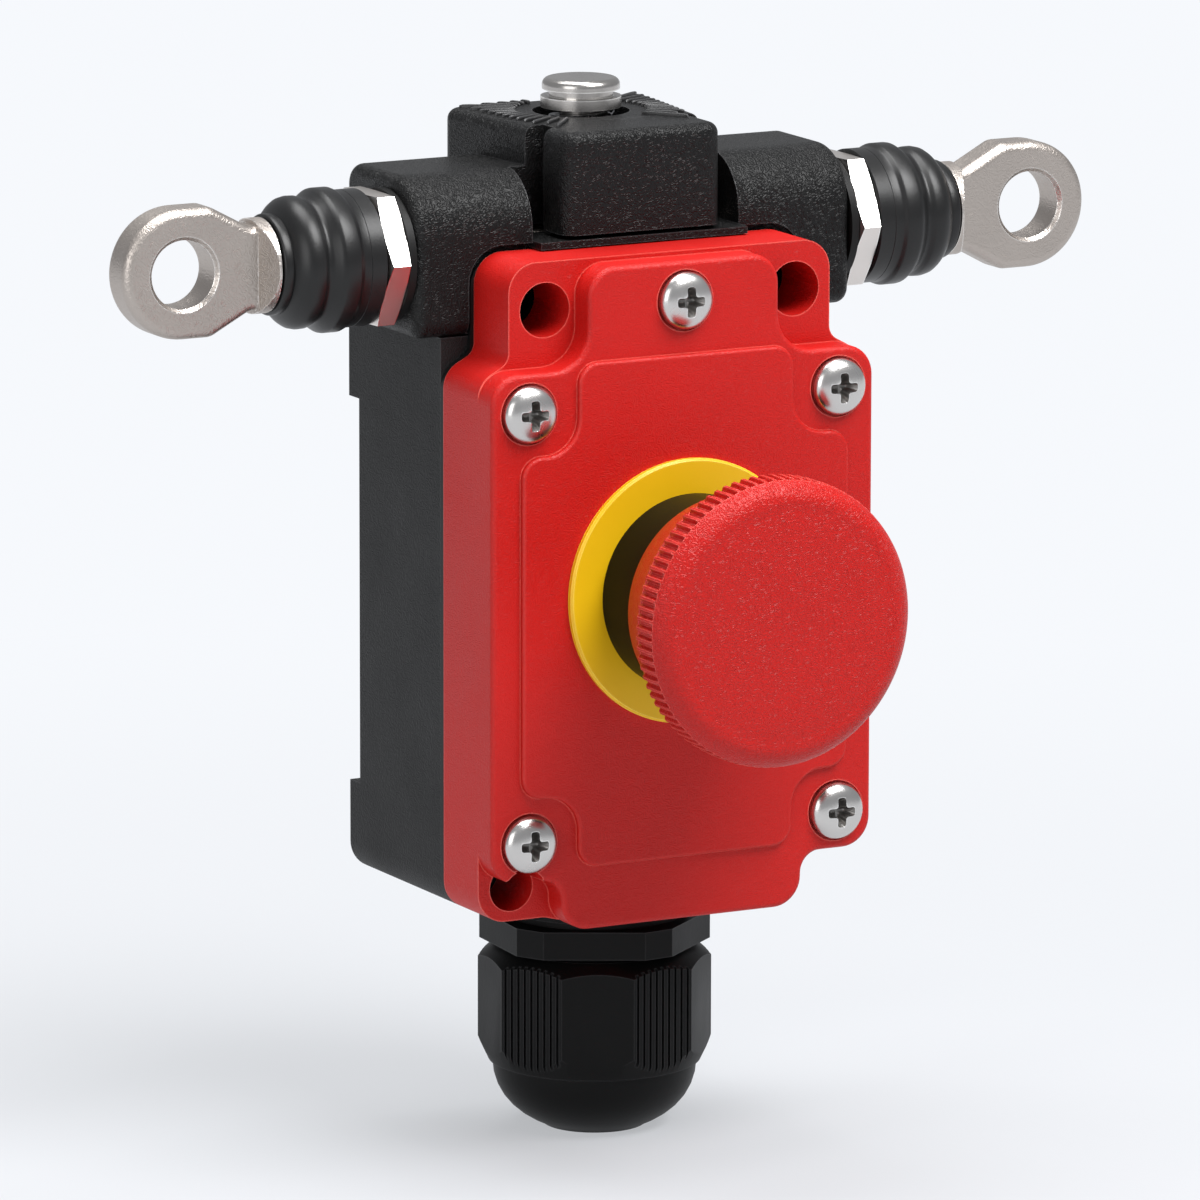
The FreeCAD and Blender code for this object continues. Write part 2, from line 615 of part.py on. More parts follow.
def coil_spring(label, origin, direction, length, coil_radius, wire_radius, turns):
    """A round-wire coil spring that stands on its origin and grows along its direction."""
    pitch = (length - 2 * wire_radius) / turns
    helix = Part.makeHelix(float(pitch), float(pitch * turns), float(coil_radius))
    section = Part.makePolygon(
        [
            Vector(
                coil_radius + wire_radius * math.cos(math.tau * step / WIRE_SIDES),
                0,
                wire_radius * math.sin(math.tau * step / WIRE_SIDES),
            )
            for step in range(WIRE_SIDES + 1)
        ]
    )
    spring = document.addObject("Part::Feature", label)
    spring.Label = label
    spring.Shape = Part.Wire(helix).makePipeShell([section], True, True)
    base = origin + direction * float(wire_radius)
    spring.Placement = FreeCAD.Placement(base, FreeCAD.Rotation(UPRIGHT, direction))
    sub_parts.append(spring)
    return spring


# Housing and cover


def lower_outline():
    """The lower half of the cover's outline, which the housing and the seal share."""
    return [
        (dim.half_width, -dim.notch_drop, dim.convex_radius),
        (dim.tab_half_width, -dim.notch_drop, dim.concave_radius),
        (dim.tab_half_width, -tab_bottom_drop, dim.convex_radius),
        (-dim.tab_left_end, -tab_bottom_drop, dim.blend_radius),
        (-dim.lower_ear_end, -lower_ear_drop, dim.blend_radius),
        (-dim.half_width, -lower_ear_drop, dim.convex_radius),
    ]


def cover_outline():
    """The cover's outline, clockwise from the upper left ear."""
    return [
        (-dim.ear_half_width, dim.ear_top, dim.convex_radius),
        (dim.ear_half_width, dim.ear_top, dim.convex_radius),
        (dim.ear_half_width, -dim.shoulder_inner_drop, dim.shoulder_inner_radius),
        (dim.half_width, -dim.shoulder_outer_drop, dim.shoulder_outer_radius),
        *lower_outline(),
        (-dim.half_width, -dim.shoulder_outer_drop, dim.shoulder_outer_radius),
        (-dim.ear_half_width, -dim.shoulder_inner_drop, dim.shoulder_inner_radius),
    ]


def hollow_outline(top):
    """The room inside the walls, up to the given height."""
    side = dim.half_width - dim.housing_wall
    neck_side = dim.ear_half_width - dim.housing_wall
    shoulder = -dim.shoulder_outer_drop - dim.housing_wall
    tab_side = dim.tab_half_width - dim.housing_wall
    floor = -dim.notch_drop + dim.housing_wall
    tab_floor = -tab_bottom_drop + dim.housing_wall
    return [
        (-side, shoulder),
        (-neck_side, shoulder),
        (-neck_side, top),
        (neck_side, top),
        (neck_side, shoulder),
        (side, shoulder),
        (side, floor),
        (tab_side, floor),
        (tab_side, tab_floor),
        (-tab_side, tab_floor),
        (-tab_side, floor),
        (-side, floor),
    ]


def side_screws(radius):
    """A circle of the given radius round each of the four side screws."""
    return [
        (side * dim.screw_offset, -drop, radius)
        for drop in (dim.screw_upper_drop, screw_lower_drop)
        for side in (LEFT, RIGHT)
    ]


def upper_mounts(radius):
    """A circle of the given radius round each upper mounting hole."""
    return [(side * mount_offset, 0.0, radius) for side in (LEFT, RIGHT)]


def lower_mount(radius):
    """A circle of the given radius round the lower mounting hole."""
    return [(-dim.lower_mount_offset, -lower_mount_drop, radius)]


def followers(radius):
    """A circle of the given radius round each follower, seen from above."""
    return [(side * dim.follower_offset, -dim.rope_depth, radius) for side in (LEFT, RIGHT)]


def head_screws_at(radius):
    """A circle of the given radius round each screw that holds the head, from above."""
    return [
        (side * dim.head_screw_offset, -dim.head_screw_depth, radius) for side in (LEFT, RIGHT)
    ]


def make_rear_housing():
    """Black moulded box with feet, screw columns, a mounting flange and the cable entry."""
    body = new_body("rear_housing")
    outline = [
        (-dim.half_width, -dim.head_joint_drop),
        (dim.half_width, -dim.head_joint_drop),
        *lower_outline(),
    ]
    extrude(body, "Pad", "XZ", -dim.housing_depth, 0.0, outline)
    flange = [
        (-dim.ear_half_width, -dim.head_joint_drop - OVERSHOOT),
        (-dim.ear_half_width, dim.ear_top, dim.convex_radius),
        (dim.ear_half_width, dim.ear_top, dim.convex_radius),
        (dim.ear_half_width, -dim.head_joint_drop - OVERSHOOT),
    ]
    extrude(body, "Pad", "XZ", -dim.flange_depth, 0.0, flange)
    extrude(
        body, "Pad", "XY", -entry_boss_drop, -tab_bottom_drop,
        circles=[(0.0, -entry_depth, dim.entry_boss_radius)],
    )
    past_side = dim.half_width + OVERSHOOT
    recess = [
        (-past_side, -foot_bottom_drop),
        (past_side, -foot_bottom_drop),
        (past_side, -dim.foot_top_drop),
        (-past_side, -dim.foot_top_drop),
    ]
    extrude(body, "Pocket", "XZ", -dim.foot_height, 0.0, recess)
    ceiling = -dim.head_joint_drop - dim.housing_wall
    extrude(
        body, "Pocket", "XZ", -dim.housing_depth, -dim.housing_floor, hollow_outline(ceiling)
    )
    for column in side_screws(dim.boss_radius):
        extrude(
            body, "Pad", "XZ", -dim.housing_depth, -dim.housing_floor + OVERSHOOT,
            circles=[column],
        )
    thread_floor = plate_face - dim.screw_seat_depth - dim.screw_length - OVERSHOOT
    extrude(
        body, "Pocket", "XZ", -dim.housing_depth, -thread_floor,
        circles=side_screws(dim.screw_thread_radius + dim.thread_fit),
    )
    window_half = dim.follower_offset + dim.follower_radius + OVERSHOOT
    window_near = -dim.rope_depth - dim.strip_width / 2
    window_far = -dim.rope_depth + dim.strip_width / 2
    window = [
        (-window_half, window_near),
        (window_half, window_near),
        (window_half, window_far),
        (-window_half, window_far),
    ]
    extrude(body, "Pocket", "XY", ceiling - OVERSHOOT, -dim.head_joint_drop, window)
    extrude(
        body, "Pocket", "XY", ceiling - OVERSHOOT, -dim.head_joint_drop,
        circles=head_screws_at(dim.head_screw_radius + dim.screw_clearance),
    )
    extrude(
        body, "Pocket", "XY", -entry_boss_drop, -entry_inner_drop,
        circles=[(0.0, -entry_depth, dim.entry_thread_radius + dim.thread_fit)],
    )
    extrude(
        body, "Pocket", "XZ", -dim.flange_depth - OVERSHOOT, 0.0,
        circles=upper_mounts(dim.mount_hole_radius),
    )
    extrude(
        body, "Pocket", "XZ", -dim.housing_depth, 0.0, circles=lower_mount(dim.mount_hole_radius)
    )
    extrude(
        body, "Pocket", "XZ", -dim.housing_depth, -dim.lower_recess_floor,
        circles=lower_mount(dim.lower_recess_radius),
    )
    extrude(
        body, "Pocket", "XZ", -dim.housing_floor, -dim.foot_height,
        circles=[(earth_offset, -earth_drop, dim.earth_thread_radius + dim.thread_fit)],
    )
    return body


def make_cover_gasket():
    """Flat seal that shows as a thin black line round the cover."""
    body = new_body("cover_gasket")
    lip = dim.gasket_lip
    outline = [
        (-dim.ear_half_width - lip, dim.ear_top - lip, dim.convex_radius),
        (dim.ear_half_width + lip, dim.ear_top - lip, dim.convex_radius),
        (dim.ear_half_width + lip, -dim.shoulder_inner_drop, dim.shoulder_inner_radius),
        (dim.half_width, -dim.shoulder_outer_drop, dim.shoulder_outer_radius),
        *lower_outline(),
        (-dim.half_width, -dim.shoulder_outer_drop, dim.shoulder_outer_radius),
        (-dim.ear_half_width - lip, -dim.shoulder_inner_drop, dim.shoulder_inner_radius),
    ]
    extrude(body, "Pad", "XZ", -cover_back, -dim.housing_depth, outline)
    opening_top = -dim.head_joint_drop - dim.housing_wall
    extrude(
        body, "Pocket", "XZ", -cover_back, -dim.housing_depth, hollow_outline(opening_top)
    )
    for column in side_screws(dim.boss_radius):
        extrude(body, "Pad", "XZ", -cover_back, -dim.housing_depth, circles=[column])
    clearance = dim.screw_thread_radius + dim.screw_clearance
    holes = side_screws(clearance)
    holes.append((0.0, dim.screw_top_rise, clearance))
    holes += upper_mounts(dim.mount_recess_radius)
    holes += lower_mount(dim.lower_recess_radius)
    extrude(body, "Pocket", "XZ", -cover_back, -dim.housing_depth, circles=holes)
    return body


def make_front_cover():
    """Red moulded cover: a hollow shell with lowered ears, a plate and a raised panel."""
    body = new_body("front_cover")
    extrude(body, "Pad", "XZ", -ear_face, -cover_back, cover_outline())
    plate = [
        (-dim.plate_tab_half_width, dim.plate_top, dim.convex_radius),
        (dim.plate_tab_half_width, dim.plate_top, dim.convex_radius),
        (dim.plate_tab_half_width, -dim.plate_shoulder_drop, dim.plate_concave_radius),
        (dim.half_width, -dim.plate_shoulder_drop, dim.convex_radius),
        (dim.half_width, -dim.notch_drop, dim.convex_radius),
        (dim.tab_half_width, -dim.notch_drop, dim.concave_radius),
        (dim.tab_half_width, -tab_bottom_drop, dim.convex_radius),
        (-dim.tab_half_width, -tab_bottom_drop, dim.convex_radius),
        (-dim.tab_half_width, -dim.notch_drop, dim.concave_radius),
        (-dim.half_width, -dim.notch_drop, dim.convex_radius),
        (-dim.half_width, -dim.plate_shoulder_drop, dim.convex_radius),
        (-dim.plate_tab_half_width, -dim.plate_shoulder_drop, dim.plate_concave_radius),
    ]
    extrude(body, "Pad", "XZ", -plate_face, -ear_face, plate)
    fillet(body, dim.edge_radius, in_plane("Y", -plate_face))
    convex, concave = dim.panel_convex_radius, dim.panel_concave_radius
    panel = [
        (-dim.panel_neck_half_width, -dim.panel_top_drop, convex),
        (dim.panel_neck_half_width, -dim.panel_top_drop, convex),
        (dim.panel_neck_half_width, -dim.panel_upper_step_drop, concave),
        (dim.panel_half_width, -dim.panel_upper_step_drop, convex),
        (dim.panel_half_width, -panel_lower_step_drop, convex),
        (dim.panel_neck_half_width, -panel_lower_step_drop, concave),
        (dim.panel_neck_half_width, -panel_bottom_drop, convex),
        (-dim.panel_neck_half_width, -panel_bottom_drop, convex),
        (-dim.panel_neck_half_width, -panel_lower_step_drop, concave),
        (-dim.panel_half_width, -panel_lower_step_drop, convex),
        (-dim.panel_half_width, -dim.panel_upper_step_drop, convex),
        (-dim.panel_neck_half_width, -dim.panel_upper_step_drop, concave),
    ]
    extrude(body, "Pad", "XZ", -panel_face, -plate_face, panel)
    fillet(body, dim.panel_edge_radius, in_plane("Y", -panel_face))
    roof = -plate_face + dim.cover_wall
    extrude(
        body, "Pocket", "XZ", roof, -cover_back,
        hollow_outline(-dim.shoulder_outer_drop - dim.cover_wall),
    )
    neck = dim.plate_tab_half_width - dim.cover_wall
    neck_room = [
        (-neck, -dim.shoulder_outer_drop - dim.cover_wall - OVERSHOOT),
        (neck, -dim.shoulder_outer_drop - dim.cover_wall - OVERSHOOT),
        (neck, dim.plate_top - dim.cover_wall),
        (-neck, dim.plate_top - dim.cover_wall),
    ]
    extrude(body, "Pocket", "XZ", roof, -cover_back, neck_room)
    top_screw = (0.0, dim.screw_top_rise)
    for column in side_screws(dim.boss_radius) + [(*top_screw, dim.boss_radius)]:
        extrude(body, "Pad", "XZ", roof - OVERSHOOT, -cover_back, circles=[column])
    seats = side_screws(dim.screw_seat_radius) + [(*top_screw, dim.screw_seat_radius)]
    seat_floor = -plate_face + dim.screw_seat_depth
    extrude(body, "Pocket", "XZ", -plate_face - OVERSHOOT, seat_floor, circles=seats)
    clearance = dim.screw_thread_radius + dim.screw_clearance
    holes = side_screws(clearance)
    holes.append((*top_screw, clearance))
    holes += upper_mounts(dim.mount_recess_radius)
    holes += lower_mount(dim.lower_recess_radius)
    holes.append((0.0, -dim.button_drop, dim.panel_hole_radius))
    extrude(body, "Pocket", "XZ", -panel_face - OVERSHOOT, -cover_back, circles=holes)
    return body


def cross_recess():
    """The outline of a cross recess, centred on the sketch's origin."""
    near_side, far_side = dim.recess_width / 2, dim.recess_span / 2
    return [
        (-near_side, far_side), (near_side, far_side), (near_side, near_side),
        (far_side, near_side), (far_side, -near_side), (near_side, -near_side),
        (near_side, -far_side), (-near_side, -far_side), (-near_side, -near_side),
        (-far_side, -near_side), (-far_side, near_side), (-near_side, near_side),
    ]


def screw_form(label, length):
    """A pan-head screw along Y whose head rests on the plane Y = 0. It isn't a sub-part."""
    body = new_body(label)
    sub_parts.remove(body)
    rise = dim.screw_head_height
    outline = [
        (-rise, 0.0),
        (-rise, dim.screw_head_radius, dim.screw_dome_radius),
        (0.0, dim.screw_head_radius),
        (0.0, dim.screw_thread_radius),
        (length, dim.screw_thread_radius),
        (length, 0.0),
    ]
    turn(body, "Y", outline)
    extrude(body, "Pocket", "XZ", -rise - OVERSHOOT, dim.recess_depth - rise, cross_recess())
    return body


def make_cover_screws():
    """Four side screws into the housing's columns and a top screw into the head."""
    side_form = screw_form("side_screw_form", dim.screw_length)
    top_form = screw_form("top_screw_form", dim.top_screw_length)
    seat = -plate_face + dim.screw_seat_depth
    screws = []
    for form, places in (
        (side_form, side_screws(0.0)),
        (top_form, [(0.0, dim.screw_top_rise, 0.0)]),
    ):
        for x, z, _ in places:
            screw = form.Shape.copy()
            screw.translate(Vector(x, seat, z))
            screws.append(screw)
    return group_of("cover_screws", screws)


# Head


def make_head_housing():
    """Black cast head: two arms, a middle block, and rooms for the rods and the wedges."""
    body = new_body("head_housing")
    arms = [
        (-dim.arm_front, -dim.head_joint_drop, dim.arm_bottom_radius),
        (-dim.arm_front, dim.arm_top, dim.arm_front_radius),
        (-dim.arm_back, dim.arm_top, dim.arm_edge_radius),
        (-dim.arm_back, -dim.head_joint_drop),
    ]
    extrude(body, "Pad", "YZ", -dim.arm_half_length, dim.arm_half_length, arms)
    for side in (LEFT, RIGHT):
        fillet(body, dim.arm_end_radius, in_plane("X", side * dim.arm_half_length))
    block = [
        (-dim.block_half_width, -dim.cap_back),
        (dim.block_half_width, -dim.cap_back),
        (dim.block_back_half_width, -dim.block_back, dim.cap_radius),
        (-dim.block_back_half_width, -dim.block_back, dim.cap_radius),
    ]
    block_bottom = dim.ear_top + dim.block_gap
    extrude(body, "Pad", "XY", block_bottom, dim.block_top, block)

    def top_rim(edge):
        return in_plane("Z", dim.block_top)(edge) and not in_plane("Y", -dim.cap_back)(edge)

    fillet(body, dim.block_radius, top_rim)
    slot_half = dim.cap_half_width + dim.cap_clearance
    cap_slot = [
        (-slot_half, -dim.arm_front - OVERSHOOT),
        (slot_half, -dim.arm_front - OVERSHOOT),
        (slot_half, -dim.cap_back),
        (-slot_half, -dim.cap_back),
    ]
    extrude(body, "Pocket", "XY", dim.lip_top, dim.block_top, cap_slot)
    seat_half = dim.ear_half_width + dim.cover_seat_margin
    seat_top = dim.ear_top + dim.cover_seat_margin
    below = -dim.head_joint_drop - OVERSHOOT
    cover_seat = [
        (-seat_half, below),
        (-seat_half, seat_top, dim.convex_radius + dim.cover_seat_margin),
        (seat_half, seat_top, dim.convex_radius + dim.cover_seat_margin),
        (seat_half, below),
    ]
    extrude(
        body, "Pocket", "XZ", -dim.arm_front - OVERSHOOT, -dim.housing_depth, cover_seat
    )
    lip = [
        (-slot_half, -dim.cap_front),
        (slot_half, -dim.cap_front),
        (slot_half, -dim.cap_back),
        (-slot_half, -dim.cap_back),
    ]
    extrude(body, "Pad", "XY", dim.lip_bottom, dim.lip_top, lip)
    cut_head_rooms(body)
    return body


def cut_head_rooms(body):
    """Cut the bores and rooms for the rods, the wedges, the followers and the button."""
    rod_bore = (-dim.rope_depth, dim.rope_height, dim.rod_thin_radius + dim.rod_fit)
    spring_room = (-dim.rope_depth, dim.rope_height, dim.bushing_radius + dim.thread_fit)
    past_end = dim.arm_half_length + OVERSHOOT
    for side in (LEFT, RIGHT):
        for start, bore in ((dim.chamber_start, rod_bore), (dim.spring_room_start, spring_room)):
            low, high = (start, past_end) if side == RIGHT else (-past_end, -start)
            extrude(body, "Pocket", "YZ", low, high, circles=[bore])
        near_side = -dim.rope_depth - dim.chamber_width / 2
        far_side = -dim.rope_depth + dim.chamber_width / 2
        chamber = [
            (side * dim.chamber_start, near_side),
            (side * dim.chamber_end, near_side),
            (side * dim.chamber_end, far_side),
            (side * dim.chamber_start, far_side),
        ]
        extrude(body, "Pocket", "XY", dim.chamber_bottom, dim.chamber_top, chamber)
    below = -dim.head_joint_drop - OVERSHOOT
    extrude(
        body, "Pocket", "XY", below, dim.chamber_bottom + OVERSHOOT,
        circles=followers(dim.follower_radius + dim.rod_fit),
    )
    reach = dim.head_screw_length - dim.housing_wall + OVERSHOOT - dim.head_joint_drop
    extrude(
        body, "Pocket", "XY", below, reach,
        circles=head_screws_at(dim.head_screw_radius + dim.thread_fit),
    )
    button = (0.0, -dim.reset_depth)
    extrude(
        body, "Pocket", "XY", dim.reset_well_floor, dim.block_top,
        circles=[(*button, dim.reset_well_radius)],
    )
    extrude(
        body, "Pocket", "XY", dim.clip_room_floor, dim.reset_well_floor + OVERSHOOT,
        circles=[(*button, dim.clip_room_radius)],
    )
    screw_tip = plate_face - dim.screw_seat_depth - dim.top_screw_length - OVERSHOOT
    extrude(
        body, "Pocket", "XZ", -dim.arm_front, -screw_tip,
        circles=[(0.0, dim.screw_top_rise, dim.screw_thread_radius + dim.thread_fit)],
    )
    extrude(
        body, "Pocket", "XZ", -dim.arm_front, -dim.mount_recess_floor,
        circles=upper_mounts(dim.mount_recess_radius),
    )
    extrude(
        body, "Pocket", "XZ", -dim.arm_front, -dim.arm_back + OVERSHOOT,
        circles=upper_mounts(dim.mount_hole_radius),
    )


def make_head_cap():
    """Cap on the front of the block, over the wedge chambers."""
    body = new_body("head_cap")
    outline = [
        (-dim.cap_half_width, -dim.cap_back),
        (dim.cap_half_width, -dim.cap_back),
        (dim.cap_half_width, -dim.cap_front, dim.cap_radius),
        (-dim.cap_half_width, -dim.cap_front, dim.cap_radius),
    ]
    extrude(body, "Pad", "XY", dim.cap_bottom, dim.block_top, outline)

    def top_rim(edge):
        return in_plane("Z", dim.block_top)(edge) and not in_plane("Y", -dim.cap_back)(edge)

    fillet(body, dim.block_radius, top_rim)
    groove_start = dim.cap_half_width - dim.groove_depth
    for side in (LEFT, RIGHT):
        groove = [
            (groove_start, -dim.cap_back - dim.groove_width),
            (dim.cap_half_width + OVERSHOOT, -dim.cap_back - dim.groove_width),
            (dim.cap_half_width + OVERSHOOT, -dim.cap_back + OVERSHOOT),
            (groove_start, -dim.cap_back + OVERSHOOT),
        ]
        extrude(body, "Pocket", "XY", dim.cap_bottom, dim.block_top, sided(side, groove))
    return body


def make_head_screws():
    """Two screws up through the housing's ceiling into the head."""
    form = new_body("head_screw_form")
    sub_parts.remove(form)
    outline = [
        (-dim.head_screw_rise, 0.0),
        (-dim.head_screw_rise, dim.head_screw_head),
        (0.0, dim.head_screw_head),
        (0.0, dim.head_screw_radius),
        (dim.head_screw_length, dim.head_screw_radius),
        (dim.head_screw_length, 0.0),
    ]
    turn(form, "Z", outline)
    screws = []
    for x, y, _ in head_screws_at(0.0):
        screw = form.Shape.copy()
        screw.translate(Vector(x, y, -dim.head_joint_drop - dim.housing_wall))
        screws.append(screw)
    return group_of("head_screws", screws)


# Rope pulls


def on_rope_axis(body):
    """Put a piece that was turned about X on the axis of the pull rods."""
    return place(body, y=-dim.rope_depth, z=dim.rope_height)


def make_arm_fittings(side, name):
    """The washer, the hexagon nut, the bushing and the bellows at the end of an arm."""
    bore = dim.bushing_radius + dim.thread_fit
    washer = [
        (dim.arm_half_length, bore),
        (dim.arm_half_length, dim.washer_radius),
        (nut_start, dim.washer_radius),
        (nut_start, bore),
    ]
    on_rope_axis(turned_body(name + "_washer", "X", sided(side, washer)))
    nut = new_body(name + "_hex_nut")
    low, high = (nut_start, nut_end) if side == RIGHT else (-nut_end, -nut_start)
    extrude(nut, "Pad", "YZ", low, high, polygon_corners(dim.nut_flats, 6, HEX_TURN))
    extrude(nut, "Pocket", "YZ", low, high, circles=[(0.0, 0.0, bore)])
    bevel_inner = dim.nut_flats / 2 - dim.nut_bevel / 4
    bevel_outer = dim.nut_flats / 2 + dim.nut_bevel * 2
    for face, inward in ((nut_start, 1), (nut_end, -1)):
        bevel = [
            (face - inward * OVERSHOOT, bevel_inner),
            (face, bevel_inner),
            (face + inward * dim.nut_bevel * BEVEL_RISE, bevel_outer),
            (face - inward * OVERSHOOT, bevel_outer),
        ]
        turn(nut, "X", sided(side, bevel), "Groove")
    on_rope_axis(nut)
    bushing = [
        (dim.bushing_start, dim.bushing_bore),
        (dim.bushing_start, dim.bushing_radius),
        (nut_end, dim.bushing_radius),
        (nut_end, dim.bushing_spigot),
        (dim.bushing_end, dim.bushing_spigot),
        (dim.bushing_end, dim.rod_radius + dim.rod_fit),
        (bushing_nose_start, dim.rod_radius + dim.rod_fit),
        (bushing_nose_start, dim.bushing_bore),
    ]
    on_rope_axis(turned_body(name + "_bushing", "X", sided(side, bushing)))
    on_rope_axis(turned_body(name + "_bellows", "X", sided(side, bellows_outline())))


def bellows_outline():
    """The bellows' outline: a plain band, two lobes, a shallow groove and a lip."""
    start = nut_end + dim.bellows_clearance
    lip_bore = dim.spigot_radius + dim.bellows_clearance
    return [
        (start, dim.bellows_mouth),
        (start, dim.bellows_band_radius),
        (dim.bellows_band_end, dim.bellows_band_radius),
        (dim.inner_lobe_start, dim.bellows_radius),
        (dim.inner_lobe_end, dim.bellows_radius),
        (dim.bellows_groove_place, dim.bellows_groove),
        (dim.outer_lobe_start, dim.outer_lobe_radius),
        (dim.outer_lobe_end, dim.outer_lobe_radius, dim.outer_lobe_bend),
        (dim.bellows_lip_start, dim.bellows_lip_radius),
        (dim.bellows_end, dim.bellows_lip_radius),
        (dim.bellows_end, lip_bore),
        (dim.bellows_lip_start, lip_bore),
        (dim.bellows_lip_start, dim.bellows_mouth),
    ]


def make_eye(side, name):
    """A cast eye with its flat neck, its round shank, its pull rod and the wedge."""
    body = new_body(name + "_eye")
    middle = side * dim.eye_offset
    half = dim.eye_thickness / 2
    extrude(body, "Pad", "XZ", -half, half, circles=[(middle, 0.0, dim.eye_radius)])
    taper_end = dim.eye_offset - dim.eye_taper_end
    shoulder = dim.eye_offset - dim.eye_shoulder
    neck = [
        (dim.shank_facet_start, -dim.eye_neck_half_width),
        (taper_end, -dim.eye_neck_half_width, dim.eye_neck_radius),
        (shoulder, -dim.eye_radius, dim.eye_neck_radius),
        (dim.eye_offset, -dim.eye_radius),
        (dim.eye_offset, dim.eye_radius),
        (shoulder, dim.eye_radius, dim.eye_neck_radius),
        (taper_end, dim.eye_neck_half_width, dim.eye_neck_radius),
        (dim.shank_facet_start, dim.eye_neck_half_width),
    ]
    extrude(body, "Pad", "XZ", -half, half, sided(side, neck))

    def rim(edge):
        box = edge.BoundBox
        flat = box.YLength < 0.01 and near(abs(box.YMin), half)
        return flat and not in_plane("X", side * dim.shank_facet_start)(edge)

    fillet(body, dim.eye_edge_radius, rim)
    extrude(
        body, "Pocket", "XZ", -half - OVERSHOOT, half + OVERSHOOT,
        circles=[(middle, 0.0, dim.eye_hole_radius)],
    )

    def hole_mouth(edge):
        return edge.Curve.TypeId == "Part::GeomCircle" and near(
            edge.Curve.Radius, dim.eye_hole_radius
        )

    chamfer(body, dim.eye_hole_chamfer, hole_mouth)
    shank_end = dim.eye_offset - dim.eye_neck_length
    rod = [
        (dim.rod_inner_end, 0.0),
        (dim.rod_inner_end, dim.rod_thin_radius),
        (dim.rod_step, dim.rod_thin_radius),
        (dim.rod_step, dim.rod_radius),
        (dim.spigot_start, dim.rod_radius),
        (dim.spigot_start, dim.spigot_radius),
        (dim.shank_start, dim.spigot_radius),
        (dim.shank_start, dim.shank_radius),
        (shank_end, dim.shank_radius),
        (shank_end, 0.0),
    ]
    turn(body, "X", sided(side, rod))
    for face in (-1, 1):
        facet = [
            (dim.shank_facet_start, face * dim.shank_radius),
            (shank_end, face * half),
            (shank_end + OVERSHOOT, face * half),
            (shank_end + OVERSHOOT, face * (dim.shank_radius + OVERSHOOT)),
            (dim.shank_facet_start, face * (dim.shank_radius + OVERSHOOT)),
        ]
        reach = dim.eye_radius
        extrude(body, "Pocket", "XY", -reach, reach, sided(side, facet))
    wedge_end = dim.wedge_start + (dim.wedge_drop - dim.rod_thin_radius) / dim.wedge_slope
    wedge = [
        (dim.wedge_start, 0.0),
        (dim.wedge_start, -dim.wedge_drop),
        (wedge_end, -dim.rod_thin_radius),
        (wedge_end, 0.0),
    ]
    wedge_half = dim.wedge_width / 2
    extrude(body, "Pad", "XZ", -wedge_half, wedge_half, sided(side, wedge))
    return on_rope_axis(body)


def make_rope_pull(side, name):
    """The moving pieces of one rope pull, with its spring."""
    make_eye(side, name)
    collar = [
        (collar_start, dim.rod_thin_radius),
        (collar_start, dim.collar_radius),
        (collar_end, dim.collar_radius),
        (collar_end, dim.rod_thin_radius),
    ]
    on_rope_axis(turned_body(name + "_spring_collar", "X", sided(side, collar)))
    start = Vector(side * (collar_end + dim.spring_play), -dim.rope_depth, dim.rope_height)
    coil_spring(
        name + "_rope_spring", start, ACROSS * side,
        bushing_nose_start - collar_end - dim.spring_play * 2,
        dim.rope_coil_radius, dim.rope_wire_radius, ROPE_SPRING_TURNS,
    )


def make_follower(side, name):
    """The follower under a wedge, and the contact bridge on its foot."""
    follower = new_body(name + "_follower")
    centre = side * dim.follower_offset
    spot = (centre, -dim.rope_depth, dim.follower_radius)
    extrude(follower, "Pad", "XY", -bridge_drop, dim.follower_top, circles=[spot])
    near_edge = dim.follower_offset - dim.follower_radius - OVERSHOOT
    far_edge = dim.follower_offset + dim.follower_radius + OVERSHOOT
    wedge_bottom = dim.rope_height - dim.wedge_drop
    ramp_near = wedge_bottom + dim.wedge_slope * (near_edge - dim.wedge_start)
    ramp_far = wedge_bottom + dim.wedge_slope * (far_edge - dim.wedge_start)
    ramp = [
        (near_edge, ramp_near - dim.follower_gap),
        (far_edge, ramp_far - dim.follower_gap),
        (far_edge, dim.rope_height),
        (near_edge, dim.rope_height),
    ]
    front = -dim.rope_depth - dim.strip_width
    back = -dim.rope_depth + dim.strip_width
    extrude(follower, "Pocket", "XZ", front, back, sided(side, ramp))
    bridge = new_body(name + "_contact_bridge")
    ends = (
        dim.rope_post_middle + dim.strip_gap,
        dim.rope_post_start - dim.strip_gap,
    )
    half = dim.strip_width / 2
    outline = [
        (ends[0], -dim.rope_depth - half),
        (ends[1], -dim.rope_depth - half),
        (ends[1], -dim.rope_depth + half),
        (ends[0], -dim.rope_depth + half),
    ]
    extrude(
        bridge, "Pad", "XY", -bridge_drop - dim.strip_thickness, -bridge_drop,
        sided(side, outline),
    )
    spring_top = bridge_drop + dim.strip_thickness + dim.spring_play
    coil_spring(
        name + "_contact_spring", Vector(centre, -dim.rope_depth, -spring_top), -UPRIGHT,
        dim.rope_block_bottom - OVERSHOOT - dim.spring_play - spring_top,
        dim.contact_coil_radius, dim.contact_wire_radius, CONTACT_SPRING_TURNS,
    )


# Contacts under the head


